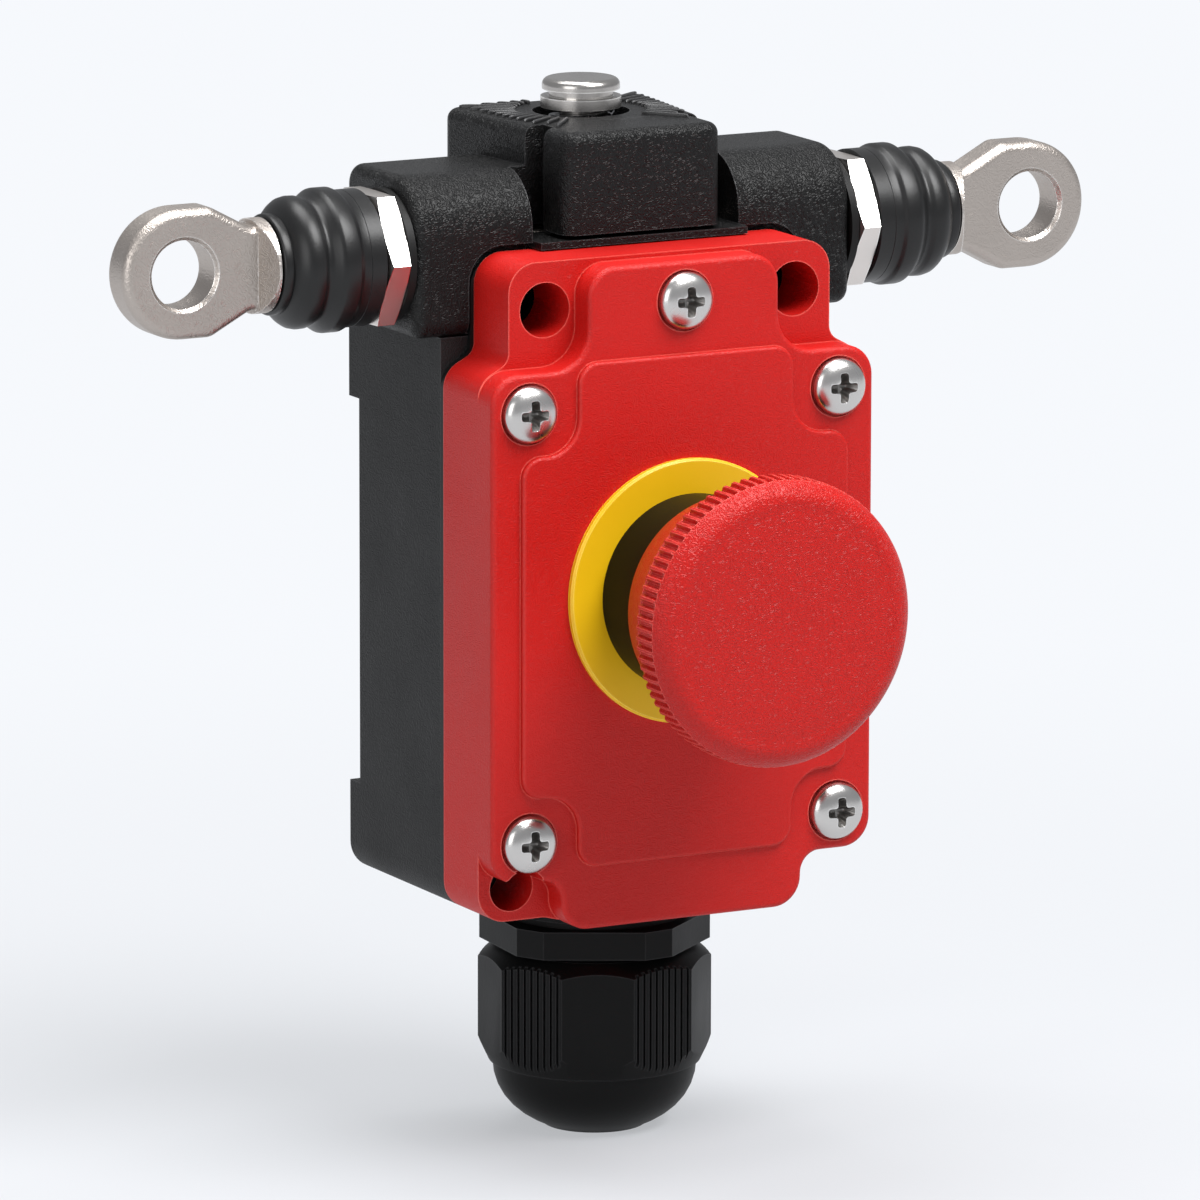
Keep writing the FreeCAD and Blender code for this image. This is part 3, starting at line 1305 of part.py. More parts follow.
def make_rope_contacts():
    """The contact block under the head, its fixed strips and their terminal screws."""
    block = new_body("rope_contact_block")
    outer, inner, middle = (
        dim.rope_block_half_width, dim.rope_post_start, dim.rope_post_middle,
    )
    top, step, bottom = -dim.rope_post_drop, -dim.rope_block_drop, -dim.rope_block_bottom
    outline = [
        (-outer, bottom), (outer, bottom), (outer, top), (inner, top), (inner, step),
        (middle, step), (middle, top), (-middle, top), (-middle, step), (-inner, step),
        (-inner, top), (-outer, top),
    ]
    extrude(block, "Pad", "XZ", -dim.rope_block_front, -dim.housing_floor, outline)
    extrude(
        block, "Pocket", "XY", bottom + OVERSHOOT, step,
        circles=followers(dim.contact_coil_radius + dim.contact_wire_radius * 2),
    )
    screw_holes = [
        (side * place_x, -dim.rope_depth, dim.terminal_thread_radius + dim.thread_fit)
        for side in (LEFT, RIGHT)
        for place_x in (inner_terminal(), outer_terminal())
    ]
    extrude(block, "Pocket", "XY", top - dim.terminal_length, top, circles=screw_holes)
    gap_start = dim.follower_offset - dim.follower_radius - dim.strip_gap
    gap_end = dim.follower_offset + dim.follower_radius + dim.strip_gap
    for label, start, end, screw in (
        ("rope_inner_strips", dim.strip_gap, gap_start, inner_terminal()),
        ("rope_outer_strips", gap_end, outer, outer_terminal()),
    ):
        strips = [strip_shape(side, start, end, screw, top) for side in (LEFT, RIGHT)]
        group_of(label, strips)
    form = terminal_form("rope_terminal_form")
    screws = []
    for x, y, _ in screw_holes:
        screw = form.Shape.copy()
        screw.translate(Vector(x, y, top + dim.strip_thickness))
        screws.append(screw)
    group_of("rope_terminal_screws", screws)


def inner_terminal():
    """Middle to the terminal screws of the inner strips."""
    return dim.rope_post_middle - dim.terminal_head_radius


def outer_terminal():
    """Middle to the terminal screws of the outer strips."""
    return (dim.rope_block_half_width + dim.rope_post_start) / 2


def strip_shape(side, start, end, screw, level):
    """A flat fixed strip on top of a post, with the hole for its terminal screw."""
    form = new_body("strip_form")
    sub_parts.remove(form)
    half = dim.strip_width / 2
    outline = [
        (start, -dim.rope_depth - half),
        (end, -dim.rope_depth - half),
        (end, -dim.rope_depth + half),
        (start, -dim.rope_depth + half),
    ]
    top = level + dim.strip_thickness
    extrude(form, "Pad", "XY", level, top, sided(side, outline))
    hole = (side * screw, -dim.rope_depth, dim.terminal_thread_radius + dim.thread_fit)
    extrude(form, "Pocket", "XY", level, top, circles=[hole])
    return form.Shape.copy()


def terminal_form(label):
    """A terminal screw pointing down from the plane Z = 0. It isn't a sub-part."""
    form = new_body(label)
    sub_parts.remove(form)
    outline = [
        (dim.terminal_head_height, 0.0),
        (dim.terminal_head_height, dim.terminal_head_radius),
        (0.0, dim.terminal_head_radius),
        (0.0, dim.terminal_thread_radius),
        (-dim.terminal_length, dim.terminal_thread_radius),
        (-dim.terminal_length, 0.0),
    ]
    turn(form, "Z", outline)
    return form


# Reset button


def make_reset_button():
    """The button with its two discs, its guide, its return spring and its clip."""
    clip_top = dim.reset_well_floor - dim.clip_play
    groove_radius = dim.reset_stem_radius - dim.clip_groove_depth
    button = [
        (dim.reset_top, 0.0),
        (dim.reset_top, dim.reset_radius, dim.reset_edge_radius),
        (dim.reset_cap_bottom, dim.reset_radius),
        (dim.reset_cap_bottom, dim.reset_neck_radius),
        (dim.reset_disc_top, dim.reset_neck_radius),
        (dim.reset_disc_top, dim.reset_disc_radius),
        (dim.reset_disc_bottom, dim.reset_disc_radius),
        (dim.reset_disc_bottom, dim.reset_stem_radius),
        (clip_top, dim.reset_stem_radius),
        (clip_top, groove_radius),
        (clip_top - dim.clip_thickness, groove_radius),
        (clip_top - dim.clip_thickness, dim.reset_stem_radius),
        (dim.reset_stem_bottom, dim.reset_stem_radius),
        (dim.reset_stem_bottom, 0.0),
    ]
    place(turned_body("reset_button", "Z", button), y=-dim.reset_depth)
    clip = [
        (clip_top, groove_radius),
        (clip_top, dim.clip_radius),
        (clip_top - dim.clip_thickness, dim.clip_radius),
        (clip_top - dim.clip_thickness, groove_radius),
    ]
    place(turned_body("reset_clip", "Z", clip), y=-dim.reset_depth)
    guide_top = dim.reset_well_floor + dim.guide_thickness
    guide = [
        (guide_top, dim.reset_stem_radius + dim.rod_fit),
        (guide_top, dim.reset_well_radius - dim.thread_fit),
        (dim.reset_well_floor, dim.reset_well_radius - dim.thread_fit),
        (dim.reset_well_floor, dim.reset_stem_radius + dim.rod_fit),
    ]
    place(turned_body("reset_guide", "Z", guide), y=-dim.reset_depth)
    base = Vector(0, -dim.reset_depth, guide_top + dim.spring_play)
    coil_spring(
        "reset_spring", base, UPRIGHT,
        dim.reset_disc_bottom - guide_top - dim.spring_play * 2,
        dim.reset_coil_radius, dim.reset_wire_radius, RESET_SPRING_TURNS,
    )


# Emergency-stop button


def on_button_axis(body):
    """Put a piece that was turned about Y on the axis of the emergency-stop button."""
    return place(body, z=-dim.button_drop)


def make_stop_button():
    """Ring, collar, nut, stem, spring and mushroom of the emergency-stop button."""
    ring = [
        (-panel_face, dim.button_thread_radius + dim.thread_fit),
        (-panel_face, dim.ring_radius),
        (-ring_face + dim.ring_bevel, dim.ring_radius),
        (-ring_face, dim.ring_radius - dim.ring_bevel),
        (-ring_face, dim.button_thread_radius + dim.thread_fit),
    ]
    on_button_axis(turned_body("estop_ring", "Y", ring))
    guide_bore = dim.stem_radius + dim.rod_fit
    spring_floor = dim.button_thread_end + dim.guide_thickness
    collar = [
        (-dim.button_collar_front, dim.button_bore_radius),
        (-dim.button_collar_front, dim.collar_outer_radius),
        (-ring_face, dim.collar_outer_radius),
        (-ring_face, dim.button_thread_radius),
        (-dim.button_thread_end, dim.button_thread_radius),
        (-dim.button_thread_end, guide_bore),
        (-spring_floor, guide_bore),
        (-spring_floor, dim.button_bore_radius),
    ]
    on_button_axis(turned_body("estop_collar", "Y", collar))
    roof = plate_face - dim.cover_wall
    nut = [
        (-roof, dim.button_thread_radius + dim.thread_fit),
        (-roof, dim.button_nut_radius),
        (-roof + dim.button_nut_thickness, dim.button_nut_radius),
        (-roof + dim.button_nut_thickness, dim.button_thread_radius + dim.thread_fit),
    ]
    on_button_axis(turned_body("estop_nut", "Y", nut))
    stem_back = dim.stop_post_front - dim.contact_gap
    shoulder_front = dim.stem_shoulder + dim.guide_thickness
    stem = [
        (-dim.stem_front, 0.0),
        (-dim.stem_front, dim.stem_radius),
        (-shoulder_front, dim.stem_radius),
        (-shoulder_front, dim.stem_shoulder_radius),
        (-dim.stem_shoulder, dim.stem_shoulder_radius),
        (-dim.stem_shoulder, dim.stem_radius),
        (-stem_back, dim.stem_radius),
        (-stem_back, 0.0),
    ]
    on_button_axis(turned_body("estop_stem", "Y", stem))
    start = Vector(0, -spring_floor - dim.spring_play, -dim.button_drop)
    coil_spring(
        "estop_spring", start, -DEEP,
        dim.stem_shoulder - spring_floor - dim.spring_play * 2,
        dim.button_coil_radius, dim.button_wire_radius, STEM_SPRING_TURNS,
    )
    on_button_axis(turned_body("mushroom_head", "Y", mushroom_outline()))


def mushroom_outline():
    """The mushroom: a flared skirt, a groove, a thick rim, and a hub inside for the stem."""
    hub_bore = dim.stem_radius + dim.rod_fit
    groove_front = dim.rim_back + dim.rim_groove_width
    return [
        (-dim.mushroom_back, dim.mushroom_bore_radius),
        (-dim.mushroom_back, dim.skirt_back_radius),
        (-dim.rim_back, dim.skirt_front_radius),
        (-dim.rim_back, dim.rim_groove_radius),
        (-groove_front, dim.rim_groove_radius),
        (-groove_front, dim.mushroom_radius, dim.rim_edge_radius),
        (-dim.mushroom_front, dim.mushroom_radius, dim.mushroom_edge_radius),
        (-dim.mushroom_front, 0.0),
        (-dim.stem_front - dim.contact_gap, 0.0),
        (-dim.stem_front - dim.contact_gap, hub_bore),
        (-dim.hub_back, hub_bore),
        (-dim.hub_back, dim.hub_radius),
        (-dim.mushroom_floor, dim.hub_radius),
        (-dim.mushroom_floor, dim.mushroom_bore_radius),
    ]


def make_stop_contacts():
    """The contact block behind the button, with its strips, bridge, spring and screws."""
    block = new_body("estop_contact_block")
    outer, inner = dim.stop_block_half_width, dim.stop_post_start
    front, base, back = -dim.stop_post_front, -dim.stop_block_base, -dim.housing_floor
    outline = [
        (-outer, back), (outer, back), (outer, front), (inner, front), (inner, base),
        (-inner, base), (-inner, front), (-outer, front),
    ]
    low = -dim.button_drop - dim.stop_block_half_height
    high = -dim.button_drop + dim.stop_block_half_height
    extrude(block, "Pad", "XY", low, high, outline)
    pocket = (0.0, -dim.button_drop, dim.contact_coil_radius + dim.contact_wire_radius * 2)
    extrude(block, "Pocket", "XZ", base, back - OVERSHOOT, circles=[pocket])
    screw_x = (outer + inner) / 2
    holes = [
        (side * screw_x, -dim.button_drop, dim.terminal_thread_radius + dim.thread_fit)
        for side in (LEFT, RIGHT)
    ]
    extrude(block, "Pocket", "XZ", front, front + dim.terminal_length, circles=holes)
    half = dim.strip_width / 2
    bridge_half = inner - dim.contact_gap
    bridge = new_body("estop_contact_bridge")
    bridge_outline = [
        (-bridge_half, -half), (bridge_half, -half), (bridge_half, half), (-bridge_half, half),
    ]
    bridge_front = front + dim.contact_gap
    extrude(
        bridge, "Pad", "XZ", bridge_front, bridge_front + dim.strip_thickness, bridge_outline
    )
    on_button_axis(bridge)
    strips = []
    screws = []
    form = terminal_form("stop_terminal_form")
    upright_screw = FreeCAD.Rotation(UPRIGHT, -DEEP)
    for side in (LEFT, RIGHT):
        strip = new_body("stop_strip_form")
        sub_parts.remove(strip)
        strip_outline = [
            (dim.stem_radius + dim.strip_gap, -half), (outer, -half),
            (outer, half), (dim.stem_radius + dim.strip_gap, half),
        ]
        top = front - dim.strip_thickness
        extrude(strip, "Pad", "XZ", top, front, sided(side, strip_outline))
        hole = (side * screw_x, 0.0, dim.terminal_thread_radius + dim.thread_fit)
        extrude(strip, "Pocket", "XZ", top, front, circles=[hole])
        shape = strip.Shape.copy()
        shape.translate(Vector(0, 0, -dim.button_drop))
        strips.append(shape)
        screw = form.Shape.copy()
        spot = Vector(side * screw_x, top, -dim.button_drop)
        screw.Placement = FreeCAD.Placement(spot, upright_screw)
        screws.append(screw)
    group_of("estop_strips", strips)
    group_of("estop_terminal_screws", screws)
    spring_start = bridge_front + dim.strip_thickness + dim.spring_play
    coil_spring(
        "estop_contact_spring", Vector(0, spring_start, -dim.button_drop), DEEP,
        back - OVERSHOOT - dim.spring_play - spring_start,
        dim.contact_coil_radius, dim.contact_wire_radius, CONTACT_SPRING_TURNS,
    )


# Earth terminal


def make_earth_terminal():
    """Square earth plate on the housing's floor, and its screw."""
    plate = new_body("earth_plate")
    half = dim.earth_plate_size / 2
    outline = [(-half, -half), (half, -half), (half, half), (-half, half)]
    top = -dim.housing_floor - dim.earth_plate_thickness
    extrude(plate, "Pad", "XZ", top, -dim.housing_floor, outline)
    hole = (0.0, 0.0, dim.earth_thread_radius + dim.thread_fit)
    extrude(plate, "Pocket", "XZ", top, -dim.housing_floor, circles=[hole])
    place(plate, x=earth_offset, z=-earth_drop)
    screw = [
        (top - dim.terminal_head_height, 0.0),
        (top - dim.terminal_head_height, dim.earth_screw_radius),
        (top, dim.earth_screw_radius),
        (top, dim.earth_thread_radius),
        (-dim.foot_height - dim.contact_gap, dim.earth_thread_radius),
        (-dim.foot_height - dim.contact_gap, 0.0),
    ]
    body = turned_body("earth_screw", "Y", screw)
    place(body, x=earth_offset, z=-earth_drop)


# Cable gland


def on_entry_axis(body):
    """Put a piece that was turned about Z on the axis of the cable entry."""
    return place(body, y=-entry_depth)


def gland_flange_corners():
    """Corners of the gland's flange: two wide wrench flats, and four flats at each side."""
    right_side = list(GLAND_FLANGE_ANGLES)
    left_side = [-angle for angle in reversed(right_side)]
    corners = []
    for step in right_side + left_side:
        angle = math.radians(GLAND_FLANGE_TURN + step)
        reach = dim.gland_flange_radius
        corners.append((reach * math.cos(angle), reach * math.sin(angle)))
    return corners


def make_gland():
    """Cable gland: sealing ring, body, clamping cage, rubber seal and dome nut."""
    seal_ring = [
        (-entry_boss_drop, dim.entry_thread_radius + dim.thread_fit * 2),
        (-entry_boss_drop, dim.entry_boss_radius - dim.contact_gap),
        (-gland_flange_top, dim.entry_boss_radius - dim.contact_gap),
        (-gland_flange_top, dim.entry_thread_radius + dim.thread_fit * 2),
    ]
    on_entry_axis(turned_body("entry_seal", "Z", seal_ring))
    body = new_body("gland_body")
    extrude(
        body, "Pad", "XY", -gland_flange_bottom, -gland_flange_top,
        gland_flange_corners(),
    )
    thread = [(0.0, 0.0, dim.entry_thread_radius)]
    extrude(body, "Pad", "XY", -gland_flange_top, -entry_inner_drop, circles=thread)
    tube = [(0.0, 0.0, dim.gland_tube_radius)]
    extrude(body, "Pad", "XY", -gland_tube_end, -gland_flange_bottom, circles=tube)
    way = [(0.0, 0.0, dim.gland_bore_radius)]
    extrude(body, "Pocket", "XY", -gland_tube_end, -entry_inner_drop, circles=way)
    cage_top = seal_top - dim.contact_gap
    cage_room = [(0.0, 0.0, dim.cage_outer_radius + dim.thread_fit)]
    extrude(body, "Pocket", "XY", -gland_tube_end, -cage_top, circles=cage_room)
    on_entry_axis(body)
    cage_end = seal_top + dim.cage_length
    cage_bore = dim.seal_outer_radius + dim.thread_fit
    cage = turned_body("gland_cage", "Z", [
        (-seal_top, cage_bore),
        (-seal_top, dim.cage_outer_radius),
        (-cage_end, dim.cage_outer_radius),
        (-cage_end, cage_bore),
    ])
    slot_half = dim.cage_slot_width / 2
    reach = dim.gland_tube_radius
    for turned in range(CAGE_SLOTS):
        angle = math.pi * turned / CAGE_SLOTS
        along = (math.cos(angle), math.sin(angle))
        slot = [
            (reach * (a * along[0]) - slot_half * (b * along[1]),
             reach * (a * along[1]) + slot_half * (b * along[0]))
            for a, b in ((-1, -1), (1, -1), (1, 1), (-1, 1))
        ]
        extrude(cage, "Pocket", "XY", -cage_end, -seal_top - dim.cage_slot_width, slot)
    on_entry_axis(cage)
    seal_end = seal_top + dim.seal_length
    seal = [
        (-seal_top, dim.seal_bore_radius),
        (-seal_top, dim.seal_outer_radius),
        (-seal_end, dim.seal_outer_radius),
        (-seal_end, dim.seal_bore_radius),
    ]
    on_entry_axis(turned_body("gland_cable_seal", "Z", seal))
    make_gland_nut(seal_end)


def make_gland_nut(seal_end):
    """Dome nut with ten flats, a tapered foot and a rounded end round the cable."""
    nut = new_body("gland_nut")
    extrude(
        nut, "Pad", "XY", -gland_dome_start, -gland_nut_top,
        polygon_corners(dim.gland_nut_flats, GLAND_NUT_SIDES, GLAND_NUT_TURN),
    )
    outside = dim.gland_nut_flats / 2 * GLAND_NUT_CORNER + OVERSHOOT
    taper = [
        (-gland_taper_start, outside),
        (-gland_dome_start, dim.gland_dome_radius),
        (-gland_dome_start - OVERSHOOT, dim.gland_dome_radius),
        (-gland_dome_start - OVERSHOOT, outside),
    ]
    turn(nut, "Z", taper, "Groove")
    upper_bevel = [
        (-gland_nut_top + OVERSHOOT, dim.gland_tube_radius),
        (-gland_nut_top + OVERSHOOT, outside),
        (-gland_nut_top - dim.gland_bevel, outside),
        (-gland_nut_top, dim.gland_nut_flats / 2 - dim.gland_bevel / 2),
        (-gland_nut_top, dim.gland_tube_radius),
    ]
    turn(nut, "Z", upper_bevel, "Groove")
    dome = [
        (-gland_dome_start, 0.0),
        (-gland_dome_start, dim.gland_dome_radius),
        (-gland_dome_end, dim.gland_dome_radius, dim.gland_dome_bend),
        (-gland_dome_end, 0.0),
    ]
    turn(nut, "Z", dome)
    thread = dim.gland_tube_radius + dim.thread_fit
    room = dim.cage_outer_radius + dim.contact_gap
    throat = dim.seal_outer_radius + dim.contact_gap
    hollow = [
        (-gland_nut_top + OVERSHOOT, 0.0),
        (-gland_nut_top + OVERSHOOT, thread),
        (-gland_tube_end - dim.contact_gap, thread),
        (-gland_tube_end - dim.contact_gap, room),
        (-seal_top - dim.cage_length - dim.contact_gap, room),
        (-seal_end - dim.contact_gap, throat),
        (-seal_end - dim.contact_gap, dim.gland_mouth_radius),
        (-gland_dome_end - OVERSHOOT, dim.gland_mouth_radius),
        (-gland_dome_end - OVERSHOOT, 0.0),
    ]
    turn(nut, "Z", hollow, "Groove")
    return on_entry_axis(nut)


def build():
    """Make every sub-part."""
    make_rear_housing()
    make_cover_gasket()
    make_front_cover()
    make_cover_screws()
    make_head_housing()
    make_head_cap()
    make_head_screws()
    for side, name in ((LEFT, "left"), (RIGHT, "right")):
        make_arm_fittings(side, name)
        make_rope_pull(side, name)
        make_follower(side, name)
    make_rope_contacts()
    make_reset_button()
    make_stop_button()
    make_stop_contacts()
    make_earth_terminal()
    make_gland()


def check():
    """Stop if any object failed or any sub-part isn't a valid solid."""
    document.recompute()
    for item in document.Objects:
        if "Invalid" in item.State or "Error" in item.State:
            raise RuntimeError(f"{item.Label} failed: {item.State}")
    for item in sub_parts:
        if item.Shape.isNull() or not item.Shape.isValid() or item.Shape.Volume <= 0:
            raise RuntimeError(f"{item.Label} isn't a valid solid")


build()
check()
os.makedirs("parts", exist_ok=True)
for item in sub_parts:
    item.Shape.exportStep(os.path.join("parts", item.Label + ".step"))
    print(item.Label, len(item.Shape.Solids), round(item.Shape.Volume, 1))
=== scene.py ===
# %% [markdown]
# # Rope pull switch
#
# This lesson dresses the CAD model of a double-ended rope pull switch. The model comes in as a
# fixed frame in metres: +X runs to the right along the rope, +Y runs into the wall, +Z is up.
# We give each CAD piece a finish, and model by hand what the CAD leaves plain: the ribbed
# mushroom button, the rubber bellows, the cross-recessed screws, the ribbed gland nut, the fine
# ridges on top of the head, and the springs.

import json
import math

import bpy
from mathutils import Matrix, Vector

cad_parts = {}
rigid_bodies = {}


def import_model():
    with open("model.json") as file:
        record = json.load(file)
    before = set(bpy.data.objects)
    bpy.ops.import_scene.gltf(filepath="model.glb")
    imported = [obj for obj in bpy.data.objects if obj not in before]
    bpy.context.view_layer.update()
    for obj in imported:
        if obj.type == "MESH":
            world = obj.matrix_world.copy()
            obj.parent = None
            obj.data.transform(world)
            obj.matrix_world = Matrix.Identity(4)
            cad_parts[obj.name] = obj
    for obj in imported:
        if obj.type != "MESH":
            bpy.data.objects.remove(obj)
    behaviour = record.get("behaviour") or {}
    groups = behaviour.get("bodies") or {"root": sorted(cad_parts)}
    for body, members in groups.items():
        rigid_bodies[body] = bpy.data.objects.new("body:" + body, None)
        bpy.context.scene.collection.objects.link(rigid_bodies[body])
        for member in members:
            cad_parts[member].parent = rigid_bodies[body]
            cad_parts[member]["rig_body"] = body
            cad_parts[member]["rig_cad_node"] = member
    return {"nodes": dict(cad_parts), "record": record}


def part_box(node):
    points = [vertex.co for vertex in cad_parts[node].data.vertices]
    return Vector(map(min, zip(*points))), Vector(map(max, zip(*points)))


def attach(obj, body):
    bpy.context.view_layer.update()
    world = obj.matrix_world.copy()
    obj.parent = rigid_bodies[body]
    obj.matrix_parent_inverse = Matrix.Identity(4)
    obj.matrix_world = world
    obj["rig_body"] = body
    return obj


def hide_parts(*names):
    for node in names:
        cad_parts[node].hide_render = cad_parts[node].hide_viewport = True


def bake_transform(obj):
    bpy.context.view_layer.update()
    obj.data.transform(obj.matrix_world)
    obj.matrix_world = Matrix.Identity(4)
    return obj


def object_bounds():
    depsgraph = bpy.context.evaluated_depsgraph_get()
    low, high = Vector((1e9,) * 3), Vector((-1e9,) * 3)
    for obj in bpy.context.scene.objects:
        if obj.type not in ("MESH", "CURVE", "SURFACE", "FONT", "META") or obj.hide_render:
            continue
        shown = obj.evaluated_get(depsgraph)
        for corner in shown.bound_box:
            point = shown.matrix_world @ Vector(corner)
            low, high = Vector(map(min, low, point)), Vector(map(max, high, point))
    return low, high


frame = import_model()
cad_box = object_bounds()
MM = 0.001
print("CAD pieces:", len(frame["nodes"]))

# %% [markdown]
# ## Finishes
#
# A moulded or cast surface is never one flat colour. Each finish below mixes two close colours
# with noise, varies its roughness, and adds a bump at the grain's real size. Noise nodes read
# Object coordinates, which are metres here, so a scale of 2000 gives grains of half a
# millimetre.
#
# Moulded leather grain looks like short worms. An image would stretch over the curved parts, so
# the worms are made from noise by folding it again and again: both sides of each fold become
# slopes, and the fold itself a ridge.

# %% Fold a noise into worms
FOLD_STEP = 0.07


def worms_of(nodes, links, height):
    """Fold a noise at every step of its value, and round the folds."""
    fold = nodes.new("ShaderNodeMath")
    fold.operation = "PINGPONG"
    fold.inputs[1].default_value = FOLD_STEP
    links.new(height, fold.inputs[0])
    ridge = nodes.new("ShaderNodeMapRange")
    ridge.interpolation_type = "SMOOTHSTEP"
    ridge.inputs["From Min"].default_value = 0.0
    ridge.inputs["From Max"].default_value = FOLD_STEP
    ridge.inputs["To Min"].default_value = 1.0
    ridge.inputs["To Max"].default_value = 0.0
    links.new(fold.outputs["Value"], ridge.inputs["Value"])
    return ridge.outputs["Result"]


print("a fold every", FOLD_STEP, "of the noise")

# %% [markdown]
# Edges get handled and rubbed, so they end up smoother than the faces. Their lighter colour is
# partly that wear and partly a painted highlight. A Bevel node gives the normal of a rounded edge.
# Where it differs from the true normal, there is an edge, and there the worn colour with its
# painted highlight and the smoother roughness take over.

# %% Rub the edges and paint their highlights
EDGE_RADIUS = 0.3
ON_A_FACE, ON_AN_EDGE = 0.995, 0.93


def rub_and_highlight_edges(nodes, links, base, dull, edge, edge_rough):
    """Mix a colour and a roughness with those of a rubbed edge, whose colour holds a painted
    highlight.
    """
    rounded = nodes.new("ShaderNodeBevel")
    rounded.samples = 4
    rounded.inputs["Radius"].default_value = EDGE_RADIUS * MM
    surface = nodes.new("ShaderNodeNewGeometry")
    agree = nodes.new("ShaderNodeVectorMath")
    agree.operation = "DOT_PRODUCT"
    links.new(rounded.outputs["Normal"], agree.inputs[0])
    links.new(surface.outputs["Normal"], agree.inputs[1])
    rubbed_and_highlit = nodes.new("ShaderNodeMapRange")
    rubbed_and_highlit.inputs["From Min"].default_value = ON_A_FACE
    rubbed_and_highlit.inputs["From Max"].default_value = ON_AN_EDGE
    links.new(agree.outputs["Value"], rubbed_and_highlit.inputs["Value"])
    # The edge colour is rubbed wear plus a painted highlight.
    worn_and_highlit = nodes.new("ShaderNodeMix")
    worn_and_highlit.data_type = "RGBA"
    worn_and_highlit.inputs[7].default_value = (*edge, 1)
    links.new(rubbed_and_highlit.outputs["Result"], worn_and_highlit.inputs["Factor"])
    links.new(base, worn_and_highlit.inputs[6])
    polished = nodes.new("ShaderNodeMix")
    polished.data_type = "FLOAT"
    polished.inputs[3].default_value = edge_rough
    links.new(rubbed_and_highlit.outputs["Result"], polished.inputs["Factor"])
    links.new(dull, polished.inputs[2])
    return worn_and_highlit.outputs[2], polished.outputs[0]


print("edge wear and highlight span", EDGE_RADIUS, "mm")

# %% [markdown]
# One function then makes every finish: a drifting colour, a drifting roughness, a grain, and,
# where the piece has them, edges with rubbed wear and a painted highlight. Colour drift and grain
# share the same coordinates, so they stay on the piece when it moves.

# %% A finish
CLOUD_SCALE, BUMP_STRENGTH = 90, 0.7


def finish(
    name, colour, rough, grain_size, grain_height, metal=0.0, drift=0.12,
    worms=False, edge=None, edge_rough=0.25, shine=0.5,
):
    """A material with a colour drift, a roughness drift, a fine grain, and rubbed edges that carry
    a painted highlight.
    """
    material = bpy.data.materials.new(name)
    material.use_nodes = True
    nodes, links = material.node_tree.nodes, material.node_tree.links
    shader = nodes["Principled BSDF"]
    shader.inputs["Metallic"].default_value = metal
    shader.inputs["Specular IOR Level"].default_value = shine
    place = nodes.new("ShaderNodeTexCoord")
    clouds = nodes.new("ShaderNodeTexNoise")
    clouds.inputs["Scale"].default_value = CLOUD_SCALE
    clouds.inputs["Detail"].default_value = 5
    links.new(place.outputs["Object"], clouds.inputs["Vector"])
    tint = nodes.new("ShaderNodeMix")
    tint.data_type = "RGBA"
    tint.inputs[6].default_value = (*[c * (1 - drift) for c in colour], 1)
    tint.inputs[7].default_value = (*[min(1, c * (1 + drift)) for c in colour], 1)
    links.new(clouds.outputs["Fac"], tint.inputs["Factor"])
    gloss = nodes.new("ShaderNodeMapRange")
    gloss.inputs["To Min"].default_value = rough * 0.85
    gloss.inputs["To Max"].default_value = rough * 1.15
    links.new(clouds.outputs["Fac"], gloss.inputs["Value"])
    grain = nodes.new("ShaderNodeTexNoise")
    grain.inputs["Scale"].default_value = 1 / (grain_size * MM)
    grain.inputs["Detail"].default_value = 1 if worms else 3
    links.new(place.outputs["Object"], grain.inputs["Vector"])
    height = grain.outputs["Fac"]
    if worms:
        height = worms_of(nodes, links, height)
    bump = nodes.new("ShaderNodeBump")
    bump.inputs["Distance"].default_value = grain_height * MM
    bump.inputs["Strength"].default_value = BUMP_STRENGTH
    links.new(height, bump.inputs["Height"])
    links.new(bump.outputs["Normal"], shader.inputs["Normal"])
    base, dull = tint.outputs[2], gloss.outputs["Result"]
    if edge:
        base, dull = rub_and_highlight_edges(nodes, links, base, dull, edge, edge_rough)
    links.new(base, shader.inputs["Base Color"])
    links.new(dull, shader.inputs["Roughness"])
    return material


print("colour clouds of about", round(1 / CLOUD_SCALE / MM), "mm")

# %% [markdown]
# The cover, the button and the head have moulded leather grain. The gland and the collar are
# smooth, and the rubber parts are matt and finely pitted.

# %% Plastics, rubber and the cast head
# Each edge colour below is lighter than its face: rubbed wear plus a painted highlight.
red_cover = finish(
    "red cover plastic", (0.52, 0.0085, 0.006), 0.46, 0.95, 0.04, drift=0.05,
    worms=True, edge=(0.86, 0.15, 0.12), edge_rough=0.34, shine=0.3,
)
red_button = finish(
    "red button plastic", (0.49, 0.008, 0.0055), 0.40, 0.95, 0.08, drift=0.05,
    worms=True, edge=(0.80, 0.11, 0.09), edge_rough=0.32, shine=0.3,
)
grey_housing = finish(
    "dark grey housing", (0.011, 0.0112, 0.0115), 0.55, 1.2, 0.05, shine=0.25, worms=True,
    edge=(0.045, 0.046, 0.048), edge_rough=0.5,
)
black_head = finish(
    "black leather-grained head", (0.0055, 0.0055, 0.0056), 0.38, 0.95, 0.09, worms=True,
    edge=(0.050, 0.050, 0.052), edge_rough=0.35, shine=0.22,
)
seal_rubber = finish("black seal rubber", (0.005, 0.005, 0.005), 0.5, 0.4, 0.02, shine=0.25)
bellows_rubber = finish(
    "black bellows rubber", (0.007, 0.007, 0.0073), 0.36, 0.4, 0.015, shine=0.4
)
inner_plastic = finish("grey inner plastic", (0.30, 0.30, 0.29), 0.5, 0.4, 0.03)
yellow_ring = finish(
    "yellow ring plastic", (0.80, 0.47, 0.003), 0.42, 0.5, 0.015, drift=0.03, shine=0.4,
    edge=(0.95, 0.72, 0.10), edge_rough=0.3,
)
